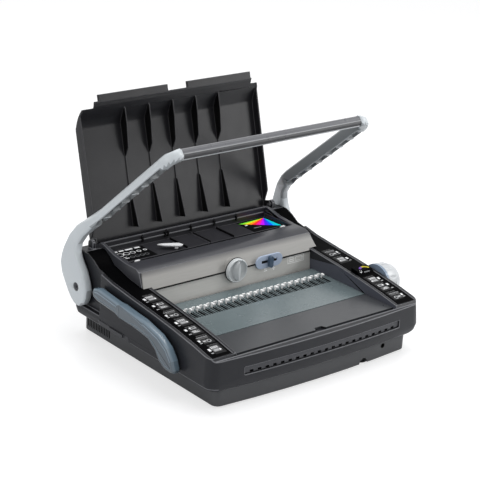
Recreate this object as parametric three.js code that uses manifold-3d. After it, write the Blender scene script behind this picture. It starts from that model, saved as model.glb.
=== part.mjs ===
// Manual binding machine for A4 paper: it punches sheets, opens plastic combs and closes wire.
// Millimetres. x runs to the machine's right, y to its back, z up from the table that its feet stand on.
import * as THREE from 'three';
import { mergeVertices } from 'three/addons/utils/BufferGeometryUtils.js';
import Module from 'manifold-3d';

const wasm = await Module();
wasm.setup();

// Shared clearances and the overrun of every cutting solid
const seatGap = 0.3;
const runGap = 0.5;
const overrun = 6;
const roundSides = 12;
const fineSides = 28;

// Binding pattern: one hole, pin, post and hook for each ring of a plastic comb
const holeCount = 21;
const holePitch = 14.2875;
const bindingSpan = (holeCount - 1) * holePitch;

// Main casing
const plateEnd = 14.125;
const plateHalfWidth = bindingSpan / 2 + plateEnd;
const wellEnd = 4;
const panelInnerX = plateHalfWidth + wellEnd;
const panelWidth = 49.5;
const casingHalfWidth = panelInnerX + panelWidth;
const casingFrontY = -189;
const casingRearY = 166;
const casingBow = 8;
const casingCorner = 18;
const casingWall = 2.8;
const casingDraft = 2.4;
const rimZ = 80;
const bandTopZ = 46;
const bandBottomZ = 29;
const bandInset = 17;
const bandHalfWidth = casingHalfWidth - bandInset;
const bandFrontY = -181.5;
const bandRearY = 161;
const bandCorner = 12;
const undersideShares = [[0, 0], [0.5, 0.14], [0.83, 0.43], [1, 1]];
const cornerSteps = 6;
const bowSteps = 6;

// Side panels: their top surface, as shares of the casing's depth and of the panels' rise
const panelRise = 60;
const panelShares = [
  [0.009, 0], [0.02, 0.07], [0.133, 0.2], [0.265, 0.32], [0.408, 0.42],
  [0.547, 0.5], [0.701, 0.6], [0.828, 0.75], [0.87, 0.9], [0.912, 1], [1, 1],
];
const armRecessDepth = 6.5;
const armRecessX = casingHalfWidth - armRecessDepth;
const armRecessFrontY = 90;
const armRecessFloorZ = 53;

// Deck, front flap and the floor below them
const deckTopZ = 79.5;
const deckThickness = 3.2;
const floorThickness = 3;
const floorTopZ = deckTopZ - deckThickness - seatGap;
const floorBottomZ = floorTopZ - floorThickness;
const deckFrontY = -112.2;
const deckLedge = 9;
const flapFrontY = -177;
const flapThickness = 3;
const flapNotchX = 8;
const flapNotchWidth = 27;
const flapNotchDepth = 7;
const flapPinRadius = 1.2;
const flapPinReach = 2.2;
const wellFrontY = -185.5;

// Paper throat
const throatFrontY = 15;
const throatWidth = 5;
const throatRearY = throatFrontY + throatWidth;
const throatFloorZ = 52;
const plateThickness = 5.6;
const dieHoleZ = 66;
const paperEnd = 6;
const paperHalfWidth = plateHalfWidth - paperEnd;

// Punch pins and their bar
const pinWidth = 8;
const pinHeight = 3;
const pinClearance = 0.35;
const pinBarDepth = 9;
const pinBarHeight = 14;
const punchTravel = 10;
const pinBarHalfWidth = 171;
const drawBarInset = 7;
const drawBarX = panelInnerX + drawBarInset;
const drawBarThickness = 6;
const drawBarHeight = 8;

// Comb opener
const postY = -20;
const postWidth = 5.4;
const postThickness = 1.8;
const postHeight = 6.5;
const postFoot = 14;
const postPlateDepth = 2;
const hookWidth = 2.4;
const hookThickness = 2.6;
const hookHeight = 7.5;
const hookBeak = 4;
const hookOffset = 5;
const hookGap = 1.2;
const hookTravel = 20;
const slitWidth = 1.3;
const slitLength = 21;
const shortSlitLength = 8;
const rakeHeight = 6;
const rakeDepth = 8;
const rakeEnd = 3;
const rakeHalfWidth = panelInnerX - rakeEnd;
const rakeLinkInset = 26;
const rakeLinkX = panelInnerX + rakeLinkInset;

// Handle: stations of an arm's centre line in the plane of its swing, from its foot to its top
const pivotY = 141;
const pivotZ = 86;
const shaftRadius = 6;
const armThickness = 16;
const hubThickness = 16;
const hubGap = 2;
const hubX = armRecessX + hubGap + hubThickness / 2;
const armInset = 21;
const armStraightX = hubX - armInset;
const armTurnSteps = 5;
const armRoundShare = 0.45;
const armStraightOffset = 233.3;
const armRise = 49.8;
const armDepth = 21.5;
const armFlare = 2.7;
const armCrown = 6.3;
const armTurnRadius = 18;
const gripReach = 262;
const gripRadius = 8.6;
const gripRodRadius = 3.5;
const gripGrooves = 3;
const gripGrooveDepth = 1.2;
const gripGrooveWidth = 1.6;
const handleTopX = armStraightX - armTurnRadius;
const ribCellCount = 7;
const ribCellStart = 31;
const ribCellEnd = 242;
const ribCellWall = 3.2;
const ribCellDepth = 9;
const ribCellSide = 1.8;
const hubWidth = 64;
const hubShares = [
  [-0.078, -0.461, 0.156, 0],
  [-0.047, -0.43, 0.344, 0],
  [-0.016, -0.359, 0.531, 0],
  [0.016, -0.211, 0.75, 0],
  [0.078, 0, 0.938, 0],
  [0.172, 0.195, 1, 0],
  [0.266, 0.438, 0.938, 0],
  [0.336, 0.664, 0.703, 0],
  [0.336, 0.875, 0.5, 8],
];
const armShares = [
  [0.281, 1.125, 0.391, 22, 0.143],
  [0.148, 1.375, 0.344, 38, 0.429],
];
const screwHeadRadius = 7;
const screwHeadDepth = 3.4;
const screwRecess = 1.4;
const shaftEmbed = 9;

// Lid, given as it lies when closed, and the angle by which it stands open
const lidSideGap = 5.5;
const lidHalfWidth = armStraightX - armThickness / 2 - lidSideGap;
const lidLength = 219;
const lidThickness = 2.5;
const lidOffset = 12;
const lidTail = 2.7;
const lidFlange = 14;
const lidCorner = 22;
const lidOpenDegrees = 105;
const lidHingeY = 153;
const lidHingeZ = 147;
const lidFlangeStart = 25;
const lidRibCount = 5;
const lidRibPitch = 47.2;
const lidRibThickness = 2;
const lidRibLine = 2;
const lidRibHigh = 17;
const lidRibEnd = 13;
const lidRibLow = 15;
const lidRibMiddle = 5;
const lidRibShares = [0.046, 0.33, 0.34, 0.566, 0.638, 0.8, 0.83, 0.92, 0.935];
const lidLipShares = [[0, 0], [0.1, 0.03], [0.36, 0.3], [0.62, 0.66], [0.84, 0.9], [1, 1]];
const lidLipLength = 43;
const lidLipDrop = 23;
const lidTabHeight = 10;
const lidTabThickness = 6;
const lidTabShares = [[-0.808, -0.061], [0.162, 0.897]];
const lidStepShares = [-0.861, 0.908];
const lidStep = 10;
const lidEar = 7;
const lidEarShare = 0.5;
const hingePinRadius = 2;
const hingeEarGap = 2.5;
const hingeEarX = lidHalfWidth + hingeEarGap;
const hingeEarThickness = 6;
const hingeEarTopRadius = 7;

// Rear housing and storage tray
const lidOverhang = 1;
const housingLean = 7;
const housingHalfWidth = lidHalfWidth - lidOverhang;
const housingTopHalfWidth = housingHalfWidth - housingLean;
const housingWall = 2.4;
const housingRearY = 151;
const housingRearZ = 146.5;
const housingSideY = 112;
const housingSideZ = 139.5;
const housingTopZ = 152;
const housingCrownZ = 136.5;
const housingCrownY = 57;
const recessFrontY = 76;
const recessRearY = 147.5;
const recessWall = 5.5;
const recessHalfWidth = housingTopHalfWidth - recessWall;
const trayFloorZ = 129.5;
const trayWall = 2;
const trayChannelZ = 121;
const trayChannelDepth = 16;
const trayRimZ = 133.5;
const trayFlange = 2.6;
const trayNotchShares = [-0.566, -0.277, 0.024, 0.319, 0.602];
const trayNotchWidth = 3;
const trayNotchDepth = 9;
const trayRidgeShares = [0.036, 0.343];
const trayRidgeWidth = 1.2;

// Fascias
const fasciaThickness = 2.5;
const lowerFasciaLean = 2.6;
const partingZ = 109;
const partingGap = 0.8;
const upperFasciaTopY = 39;
const upperFasciaTopZ = 132.4;
const fasciaInset = 1;
const upperHalfWidthBottom = housingHalfWidth - fasciaInset;
const upperHalfWidthTop = housingTopHalfWidth - fasciaInset;

// Small pieces in the tray
const clipInset = 17;
const clipX = recessHalfWidth - clipInset;
const clipWidth = 8;
const clipDepth = 5;
const clipHeight = 11;
const latchX = -65;
const latchY = 108;
const latchTurn = -31;
const latchLength = 42;
const latchWidth = 12;
const latchThickness = 2.2;
const latchPost = 5;

// Cranks and their forks: handle shaft, comb lever shaft and closer shaft
const crankPinRadius = 2.5;
const crankThickness = 6;
const crankWidth = 12;
const handleCrankReach = 13;
const leverCrankReach = 20;
const closerCrankReach = 10;
const forkSlack = 2.6;
const forkWall = 4;

// Comb lever on the left side
const leverInnerX = casingHalfWidth + casingDraft + runGap;
const leverThickness = 14.2;
const leverBevel = 5;
const leverPivotY = 77;
const leverPivotZ = 96;
const leverShaftRadius = 5;
const leverSplitY = 17;
const leverTopShares = [
  [0, 0.79], [0.02, 0.89], [0.08, 0.925], [0.3, 0.865], [0.6, 0.81], [0.77, 0.695],
  [0.87, 0.53], [0.93, 0.31], [0.955, 0.12],
];
const leverBottomShares = [
  [0.94, 0.03], [0.89, 0], [0.83, 0.02], [0.77, 0.12], [0.72, 0.3], [0.65, 0.43],
  [0.51, 0.48], [0.28, 0.55], [0.08, 0.59], [0.015, 0.65],
];
const leverRearY = 92.5;
const leverLength = 228;
const leverLowZ = 37;
const leverRise = 77;

// Wire closer on the right side
const closerY = -84;
const closerZ = 79;
const closerShaftRadius = 4;
const closerRingRadius = 30;
const closerRingThickness = 5;
const closerKnobRadius = 29;
const closerKnobTipRadius = 22;
const closerKnobLength = 28.8;
const closerKnobEase = 2;
const closerGripCount = 12;
const closerGripRadius = 3;
const closerBarTravel = 10;
const closerBarDepth = 10;
const closerBarHeight = 14;
const closerBarY = -128;
const closerBarEnd = 7;
const closerBarHalfWidth = plateHalfWidth - closerBarEnd;
const closerLinkInset = 27;
const closerLinkX = panelInnerX + closerLinkInset;
const bedFloorZ = 47;
const bedThickness = 2.5;
const bedFrontY = -180.5;
const bedRearY = -118;
const bedEnd = 3;
const bedHalfWidth = closerBarHalfWidth + bedEnd;

// Slot strip in the casing's front
const stripHalfWidth = plateHalfWidth;
const stripLowZ = 51;
const stripHeight = 11.5;
const stripThickness = 2;
const stripSlotWidth = 6.5;
const stripSlotHeight = 3.4;
const stripMiddleX = 5;
const stripSlotShare = 0.22;

// Controls on the fascia
const knobX = -1;
const knobZ = 110;
const knobRadius = 19.6;
const knobDepth = 9;
const knobBladeWidth = 4;
const knobDish = 4;
const knobDishShare = 0.8;
const knobBladeShare = 0.9;
const knobStandOff = 1;
const spindleRadius = 3.5;
const selectorX = 69.5;
const selectorZ = 110.5;
const selectorLength = 56;
const selectorHeight = 22;
const selectorDepth = 3.2;
const selectorTravel = 12;
const selectorSlotHeight = 4;
const sliderWidth = 7.5;
const sliderHeight = 20;
const sliderDepth = 6;

// Label strips and the size gauge on the side panels
const labelInset = 6.5;
const labelOuterInset = 7;
const labelWidth = panelWidth - labelInset - labelOuterInset;
const labelThickness = 0.8;
const labelFrontShare = 0.022;
const labelRearShare = 0.935;
const gaugeY = -79;
const gaugeX = panelInnerX + labelInset + labelWidth / 2;
const gaugeLength = 22;
const gaugeInset = 2;
const gaugeWidth = labelWidth - gaugeInset * 2;
const gaugeHeight = 5;

// Base pan, feet and screws
const footHeight = 3;
const footRadius = 12;
const footX = 105;
const footFrontY = -168;
const footRearY = 138;
const baseDraft = 0.6;
const baseWall = 2.6;
const baseTopZ = bandBottomZ - seatGap;
const tongueHeight = 12;
const tongueReach = 2.8;
const ventCount = 14;
const ventPitch = 4.5;
const ventWidth = 2.2;
const ventLowZ = 10;
const ventHighZ = 26;
const ventFrontY = 87;
const jackX = 138;
const jackZ = 22;
const jackRadius = 4;
const notchX = 96;
const notchRadius = 8.5;
const columnFrontInset = 22.5;
const columnFrontX = bandHalfWidth - columnFrontInset;
const columnFrontY = -159;
const columnRearInset = 15.5;
const columnRearX = bandHalfWidth - columnRearInset;
const columnRearY = 106;
const columnRadius = 5;
const screwRadius = 1.6;
const screwHole = 2;
const baseScrewHead = 3.6;
const baseScrewHeadDepth = 1.6;
const baseScrewLength = 18;

// Chip drawer
const drawerFrontY = 12;
const drawerRearY = 90;
const drawerLowZ = 32;
const drawerHeight = 14;
const drawerWall = 2;
const drawerLength = 330;
const drawerRunnerWidth = 3;
const drawerPullDepth = 5;
const drawerPullY = 42;
const drawerPullLength = 36;

// Colours
const charcoal = { color: 0x3a3b3f, roughness: 0.55, metalness: 0 };
const darkGrey = { color: 0x33343a, roughness: 0.6, metalness: 0 };
const baseGrey = { color: 0x4a4b4d, roughness: 0.7, metalness: 0 };
const deckBlue = { color: 0x6c7a80, roughness: 0.5, metalness: 0 };
const flapGrey = { color: 0x5e6062, roughness: 0.5, metalness: 0 };
const fasciaBeige = { color: 0x9d9c98, roughness: 0.5, metalness: 0 };
const armGrey = { color: 0xb7bfc2, roughness: 0.45, metalness: 0 };
const leverBlue = { color: 0x7b8c9a, roughness: 0.45, metalness: 0 };
const paleBlue = { color: 0x9fb2c8, roughness: 0.4, metalness: 0 };
const deepBlue = { color: 0x4b6076, roughness: 0.4, metalness: 0 };
const knobGrey = { color: 0xc9cdce, roughness: 0.4, metalness: 0 };
const white = { color: 0xe4e6e8, roughness: 0.4, metalness: 0 };
const black = { color: 0x0d0d0f, roughness: 0.25, metalness: 0 };
const rubber = { color: 0x151515, roughness: 0.9, metalness: 0 };
const steel = { color: 0xa5a8ab, roughness: 0.35, metalness: 1 };

// From a three.js geometry to a solid and back
function toSolid(geometry) {
  geometry.deleteAttribute('normal');
  geometry.deleteAttribute('uv');
  const merged = mergeVertices(geometry);
  const vertProperties = new Float32Array(merged.attributes.position.array);
  const triVerts = new Uint32Array(merged.index.array);
  return new wasm.Manifold(new wasm.Mesh({ numProp: 3, vertProperties, triVerts }));
}

function toGeometry(solid) {
  const { vertProperties, triVerts } = solid.getMesh();
  const geometry = new THREE.BufferGeometry();
  geometry.setAttribute('position', new THREE.BufferAttribute(vertProperties, 3));
  geometry.setIndex(new THREE.BufferAttribute(triVerts, 1));
  geometry.computeVertexNormals();
  return geometry;
}

function unite(solids) {
  return solids.reduce((whole, solid) => whole.add(solid));
}

function carve(solid, cutters) {
  return cutters.reduce((left, cutter) => left.subtract(cutter), solid);
}

function moved(solid, x, y, z) {
  return solid.translate([x, y, z]);
}

// Basic solids, each from its lowest to its highest place on every axis
function box([x0, x1], [y0, y1], [z0, z1]) {
  const geometry = new THREE.BoxGeometry(x1 - x0, y1 - y0, z1 - z0);
  geometry.translate((x0 + x1) / 2, (y0 + y1) / 2, (z0 + z1) / 2);
  return toSolid(geometry);
}

function flatShape(points) {
  return new THREE.Shape(points.map(([u, v]) => new THREE.Vector2(u, v)));
}

function extruded(shape, depth, xAxis, yAxis, zAxis) {
  const geometry = new THREE.ExtrudeGeometry(shape,
    { depth, bevelEnabled: false, curveSegments: cornerSteps });
  geometry.applyMatrix4(new THREE.Matrix4().makeBasis(xAxis, yAxis, zAxis));
  return toSolid(geometry);
}

const alongX = new THREE.Vector3(1, 0, 0);
const alongY = new THREE.Vector3(0, 1, 0);
const alongZ = new THREE.Vector3(0, 0, 1);

// A (y, z) outline drawn out along x, an (x, z) outline along y, an (x, y) outline along z
function drawnAlongX(points, x0, x1) {
  return moved(extruded(flatShape(points), x1 - x0, alongY, alongZ, alongX), x0, 0, 0);
}

function drawnAlongY(points, y0, y1) {
  const back = alongY.clone().negate();
  return moved(extruded(flatShape(points), y1 - y0, alongX, alongZ, back), 0, y1, 0);
}

function drawnAlongZ(points, z0, z1) {
  return moved(extruded(flatShape(points), z1 - z0, alongX, alongY, alongZ), 0, 0, z0);
}

function rodAlongX(radius, x0, x1, y, z, sides = roundSides) {
  const geometry = new THREE.CylinderGeometry(radius, radius, x1 - x0, sides);
  geometry.rotateZ(-Math.PI / 2);
  geometry.translate((x0 + x1) / 2, y, z);
  return toSolid(geometry);
}

function rodAlongY(radius, y0, y1, x, z, sides = roundSides) {
  const geometry = new THREE.CylinderGeometry(radius, radius, y1 - y0, sides);
  geometry.translate(x, (y0 + y1) / 2, z);
  return toSolid(geometry);
}

function rodAlongZ(radius, z0, z1, x, y, sides = roundSides) {
  const geometry = new THREE.CylinderGeometry(radius, radius, z1 - z0, sides);
  geometry.rotateX(Math.PI / 2);
  geometry.translate(x, y, (z0 + z1) / 2);
  return toSolid(geometry);
}

function mirrored(solid) {
  return solid.mirror([1, 0, 0]);
}

// A closed skin over rings of equally many points, each ring convex
function lofted(rings) {
  const count = rings[0].length;
  const positions = rings.flat().flatMap((point) => [point.x, point.y, point.z]);
  const faces = [];
  for (let ring = 0; ring + 1 < rings.length; ring += 1) {
    for (let i = 0; i < count; i += 1) {
      const here = ring * count + i;
      const next = ring * count + ((i + 1) % count);
      faces.push([here, next, next + count], [here, next + count, here + count]);
    }
  }
  const last = (rings.length - 1) * count;
  for (let i = 1; i + 1 < count; i += 1) {
    faces.push([0, i + 1, i], [last, last + i, last + i + 1]);
  }
  if (signedVolume(positions, faces) < 0) faces.forEach((face) => face.reverse());
  const triVerts = new Uint32Array(faces.flat());
  const vertProperties = new Float32Array(positions);
  return new wasm.Manifold(new wasm.Mesh({ numProp: 3, vertProperties, triVerts }));
}

function signedVolume(positions, faces) {
  const corner = (index) => new THREE.Vector3().fromArray(positions, index * 3);
  return faces.reduce((sum, [a, b, c]) => sum + corner(a).dot(corner(b).cross(corner(c))), 0);
}

// Plan outline of the casing and the base: a rounded rectangle whose front bows forward
function planRing(halfWidth, frontY, rearY, corner, bow, z) {
  const points = [];
  const centres = [
    [halfWidth - corner, rearY - corner, 0], [corner - halfWidth, rearY - corner, 1],
    [corner - halfWidth, frontY + corner, 2], [halfWidth - corner, frontY + corner, 3],
  ];
  centres.forEach(([x, y, quarter], index) => {
    for (let step = 0; step <= cornerSteps; step += 1) {
      const angle = (quarter + step / cornerSteps) * Math.PI / 2;
      points.push(new THREE.Vector3(x + corner * Math.cos(angle), y + corner * Math.sin(angle), z));
    }
    if (index === 2) points.push(...bowPoints(halfWidth - corner, frontY, bow, z));
  });
  return points;
}

function bowPoints(reach, frontY, bow, z) {
  const points = [];
  for (let step = 1; step < bowSteps; step += 1) {
    const share = 2 * step / bowSteps - 1;
    points.push(new THREE.Vector3(reach * share, frontY - bow * (1 - share * share), z));
  }
  return points;
}

// Height of the side panels at a given y
const casingDepth = casingRearY - casingFrontY;
const panelPoints = panelShares.map(([u, v]) => [casingFrontY + u * casingDepth, rimZ + v * panelRise]);

function panelZ(y) {
  const next = panelPoints.findIndex(([place]) => place >= y);
  if (next === 0) return rimZ;
  if (next < 0) return rimZ + panelRise;
  const [y0, z0] = panelPoints[next - 1];
  const [y1, z1] = panelPoints[next];
  return z0 + (z1 - z0) * (y - y0) / (y1 - y0);
}

// Everything under the panels' surface, lowered by a given depth
function belowPanels(depth) {
  const frontY = casingFrontY - casingBow - overrun;
  const top = panelPoints.map(([y, z]) => [y, z - depth]);
  const points = [
    [frontY, rimZ - depth], ...top, [casingRearY + overrun, rimZ + panelRise - depth],
    [casingRearY + overrun, -overrun], [frontY, -overrun],
  ];
  return drawnAlongX(points.reverse(), -casingHalfWidth - overrun, casingHalfWidth + overrun);
}

// Rings of the casing's outside from the base up: a share of the way from band to side, and one of the height

function casingBlock(inset, topZ) {
  const wide = casingHalfWidth + casingDraft;
  const low = undersideShares.map(([u, v]) => planRing(
    bandHalfWidth + u * (wide - bandHalfWidth) - inset,
    bandFrontY + u * (casingFrontY - casingDraft - bandFrontY) + inset,
    bandRearY + u * (casingRearY - bandRearY) - inset, bandCorner + u * (casingCorner - bandCorner) - inset,
    casingBow, bandBottomZ + v * (bandTopZ - bandBottomZ),
  ));
  const rim = planRing(
    casingHalfWidth - inset, casingFrontY + inset, casingRearY - inset, casingCorner - inset, casingBow, rimZ,
  );
  return lofted([...low, rim, rim.map((point) => point.clone().setZ(topZ))]);
}

const casingTopZ = rimZ + panelRise + overrun;
const ringSeatX = casingHalfWidth + casingDraft / 2;
const wideX = [-casingHalfWidth - overrun, casingHalfWidth + overrun];

function casingCavity() {
  const hollow = casingBlock(casingWall, casingTopZ).intersect(belowPanels(casingWall));
  const mouth = planRing(
    bandHalfWidth - casingWall, bandFrontY + casingWall, bandRearY - casingWall,
    bandCorner - casingWall, casingBow, bandBottomZ - overrun,
  );
  const below = lofted([mouth, mouth.map((point) => point.clone().setZ(bandBottomZ + seatGap))]);
  const wellX = panelInnerX + casingWall;
  const overFloor = box([-wellX, wellX], [wellFrontY - overrun, casingRearY], [floorBottomZ, casingTopZ]);
  const frontSill = box(wideX, [casingFrontY - casingBow - overrun, wellFrontY], [floorBottomZ, casingTopZ]);
  return hollow.subtract(overFloor).subtract(frontSill).add(below);
}

// Openings of the casing floor: one for the mechanism, one for the wire channel, one behind the fascia
function floorOpenings() {
  const floorZ = [floorBottomZ - overrun, floorTopZ + overrun];
  const middleX = plateHalfWidth - deckLedge / 2;
  return [
    box([-middleX, middleX], [deckFrontY + deckLedge, throatRearY + plateThickness + seatGap], floorZ),
    box([-closerBarHalfWidth, closerBarHalfWidth], [flapFrontY + deckLedge, deckFrontY - runGap], floorZ),
    box([-panelInnerX, panelInnerX], [throatRearY + plateThickness, casingRearY - casingWall],
      [floorBottomZ - overrun, casingTopZ]),
  ];
}

function armRecess() {
  const side = box([armRecessX, casingHalfWidth + overrun], [armRecessFrontY, casingRearY + overrun],
    [armRecessFloorZ, casingTopZ]);
  return unite([side, mirrored(side)]);
}

function armRecessWall() {
  const reach = armRecessX - casingWall;
  const y = [armRecessFrontY - casingWall, casingRearY];
  const side = box([reach, casingHalfWidth], y, [armRecessFloorZ - casingWall, casingTopZ]);
  return unite([side, mirrored(side)]).intersect(casingBlock(seatGap,
    casingTopZ)).intersect(belowPanels(seatGap));
}

function hingeEars() {
  const low = rimZ + panelRise - casingWall;
  const x = [hingeEarX, hingeEarX + hingeEarThickness];
  const post = box(x, [lidHingeY - hingeEarTopRadius, lidHingeY + hingeEarTopRadius], [low, lidHingeZ]);
  const top = rodAlongX(hingeEarTopRadius, x[0], x[1], lidHingeY, lidHingeZ);
  const pin = rodAlongX(hingePinRadius, lidHalfWidth - lidThickness, x[1], lidHingeY, lidHingeZ);
  const ear = unite([post, top, pin]);
  return unite([ear, mirrored(ear)]);
}

function columnPlaces() {
  return [
    [columnFrontX, columnFrontY], [-columnFrontX, columnFrontY], [columnRearX, columnRearY],
    [-columnRearX, columnRearY],
  ];
}

function columns() {
  const low = footHeight + baseWall + seatGap;
  const ceiling = belowPanels(casingWall - seatGap);
  return columnPlaces().map(([x, y]) => rodAlongZ(columnRadius, low, casingTopZ, x, y).intersect(ceiling));
}

function screwBores(radius) {
  const top = footHeight + baseWall + baseScrewLength + overrun;
  return columnPlaces().map(([x, y]) => rodAlongZ(radius, -overrun, top, x, y));
}

// A band along a side panel, between two shares of the casing's depth, cut to follow the panel's surface
function panelBand(innerX, outerX, frontShare, rearShare, low, high) {
  const y0 = casingFrontY + frontShare * casingDepth;
  const y1 = casingFrontY + rearShare * casingDepth;
  const inner = panelPoints.filter(([y]) => y > y0 && y < y1);
  const line = [[y0, panelZ(y0)], ...inner, [y1, panelZ(y1)]];
  const upper = line.map(([y, z]) => [y, z + high]).reverse();
  const lower = line.map(([y, z]) => [y, z + low]);
  return drawnAlongX([...lower, ...upper], innerX, outerX);
}

const labelInnerX = panelInnerX + labelInset;

function labelStrip(gap, high) {
  const y = gap / casingDepth;
  return panelBand(
    labelInnerX - gap, labelInnerX + labelWidth + gap, labelFrontShare - y, labelRearShare + y,
    -labelThickness - gap, high,
  );
}

function selectorSlot(clearance) {
  const reach = sliderWidth / 2 + selectorTravel + clearance;
  const half = selectorSlotHeight / 2 + clearance;
  return box([selectorX - reach, selectorX + reach], [0, upperFasciaTopY + overrun],
    [selectorZ - half, selectorZ + half]);
}

function mainCasing() {
  const shell = casingBlock(0, casingTopZ).intersect(belowPanels(0)).subtract(casingCavity());
  const well = box([-panelInnerX, panelInnerX], [wellFrontY, casingRearY - casingWall],
    [floorTopZ, casingTopZ]);
  const strip = box(
    [stripMiddleX - stripHalfWidth, stripMiddleX + stripHalfWidth],
    [casingFrontY - casingBow - overrun, wellFrontY], [stripLowZ, stripLowZ + stripHeight],
  );
  const shaftHoles = [
    rodAlongX(shaftRadius + seatGap, wideX[0], wideX[1], pivotY, pivotZ),
    rodAlongX(leverShaftRadius + seatGap, wideX[0], -panelInnerX - casingWall - overrun, leverPivotY,
      leverPivotZ),
    rodAlongX(closerShaftRadius + seatGap, panelInnerX + casingWall + overrun, wideX[1], closerY, closerZ),
    rodAlongX(closerRingRadius + seatGap, ringSeatX, wideX[1], closerY, closerZ, fineSides),
    rodAlongX(flapPinRadius + seatGap, -panelInnerX - overrun, panelInnerX + overrun, flapAxisY, flapAxisZ),
  ];
  const labels = [labelStrip(seatGap, overrun), mirrored(labelStrip(seatGap, overrun))];
  const drawer = box(
    [wideX[0], 0], [drawerFrontY - runGap, drawerRearY + runGap],
    [drawerLowZ - runGap, drawerLowZ + drawerHeight + runGap],
  );
  const trayPocket = box(
    [-recessHalfWidth - runGap, recessHalfWidth + runGap], [recessFrontY - runGap, recessRearY + runGap],
    [trayChannelZ - trayWall - runGap, casingTopZ],
  );
  const walls = shell.add(armRecessWall());
  const body = carve(walls, [well, armRecess(), ...floorOpenings(), trayPocket, strip, ...labels, drawer]);
  const whole = unite([body, hingeEars(), ...columns()]);
  return carve(whole, [...shaftHoles, ...screwBores(screwRadius + seatGap / 2)]);
}

// Deck plate with a slot for each post and hook, and thin slits between them
function hookX(index) {
  return index * holePitch - bindingSpan / 2;
}

const hookRearY = postY - postThickness / 2 - hookGap;

function deckSlits() {
  const z = [floorTopZ, deckTopZ + overrun];
  const cuts = [];
  for (let i = 0; i < holeCount; i += 1) {
    const post = hookX(i);
    const hook = post + hookOffset;
    const postHalf = postWidth / 2 + runGap;
    const hookHalf = hookWidth / 2 + runGap;
    const depth = postThickness / 2 + seatGap;
    cuts.push(box([post - postHalf, post + postHalf], [postY - depth, postY + depth], z));
    cuts.push(box([hook - hookHalf, hook + hookHalf],
      [hookRearY - hookThickness - hookTravel - runGap, hookRearY + runGap], z));
    for (const side of [-holePitch / 3, 0]) {
      const middle = post + side;
      const front = hookRearY - hookThickness;
      cuts.push(box([middle - slitWidth / 2, middle + slitWidth / 2], [front - slitLength, front], z));
    }
    cuts.push(box([post - slitWidth / 2, post + slitWidth / 2],
      [postY + depth + slitWidth, postY + depth + shortSlitLength], z));
  }
  return cuts;
}

function deckPlate() {
  const z = [floorTopZ + seatGap, deckTopZ];
  const plate = box([-panelInnerX + seatGap, panelInnerX - seatGap], [deckFrontY, throatFrontY], z);
  return plate.subtract(unite(deckSlits()));
}

// Front flap: it swings up about two stub pins at its rear corners
const flapAxisZ = deckTopZ - flapThickness / 2;
const flapRearY = deckFrontY - runGap;
const flapAxisY = flapRearY - flapThickness / 2;

function frontFlap() {
  const x = panelInnerX - runGap;
  const plate = box([-x, x], [flapFrontY, flapAxisY], [deckTopZ - flapThickness, deckTopZ]);
  const barrel = rodAlongX(flapThickness / 2, -x, x, flapAxisY, flapAxisZ);
  const pins = rodAlongX(flapPinRadius, -x - flapPinReach, x + flapPinReach, flapAxisY, flapAxisZ);
  const half = flapNotchWidth / 2;
  const notch = drawnAlongZ([
    [flapNotchX - half, flapFrontY - overrun], [flapNotchX + half, flapFrontY - overrun],
    [flapNotchX + half / 2, flapFrontY + flapNotchDepth],
    [flapNotchX - half / 2, flapFrontY + flapNotchDepth],
  ], rimZ - overrun, rimZ + overrun);
  return unite([plate, barrel, pins]).subtract(notch);
}

// Everything under the side panels, for what stands on them beside the well
function panelFill() {
  const clear = box([seatGap - panelInnerX, panelInnerX - seatGap], [casingFrontY, casingRearY],
    [0, casingTopZ]);
  return belowPanels(-seatGap).subtract(clear);
}

// Fascias
function fasciaPlate(y0, z0, y1, z1) {
  return [[y0, z0], [y0 + fasciaThickness, z0], [y1 + fasciaThickness, z1], [y1, z1]];
}

function fasciaFrontY(z) {
  const share = (z - deckTopZ) / (partingZ - deckTopZ);
  return throatRearY + lowerFasciaLean * share;
}

function lowerFascia() {
  const low = deckTopZ - deckThickness;
  const top = partingZ - partingGap / 2;
  const x = panelInnerX - seatGap;
  const plate = drawnAlongX(fasciaPlate(fasciaFrontY(low), low, fasciaFrontY(top), top), -x, x);
  return carve(plate, fasciaHoles());
}

function fasciaHoles() {
  const spindle = rodAlongY(spindleRadius + runGap, 0, upperFasciaTopY + overrun, knobX, knobZ);
  return [spindle, selectorSlot(runGap)];
}

function upperFascia() {
  const low = partingZ + partingGap / 2;
  const y0 = fasciaFrontY(partingZ);
  const half = upperHalfWidthBottom + overrun;
  const plate = drawnAlongX(fasciaPlate(y0, low, upperFasciaTopY, upperFasciaTopZ), -half, half);
  const face = drawnAlongY([
    [-upperHalfWidthBottom, low], [upperHalfWidthBottom, low],
    [upperHalfWidthTop, upperFasciaTopZ], [-upperHalfWidthTop, upperFasciaTopZ],
  ], 0, upperFasciaTopY + overrun);
  const boss = rodAlongY(knobRadius - knobDish, y0, upperFasciaTopY, knobX, knobZ, fineSides);
  const overParting = box([knobX - knobRadius, knobX + knobRadius], [0, upperFasciaTopY],
    [low, upperFasciaTopZ]);
  const inFront = drawnAlongX([
    [y0, low], [y0 + fasciaThickness, low], [upperFasciaTopY + fasciaThickness, upperFasciaTopZ],
    [y0, upperFasciaTopZ],
  ], knobX - knobRadius, knobX + knobRadius);
  const seat = boss.intersect(overParting).intersect(inFront);
  return carve(plate.intersect(face).add(seat), [...fasciaHoles(), panelFill()]);
}

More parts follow.
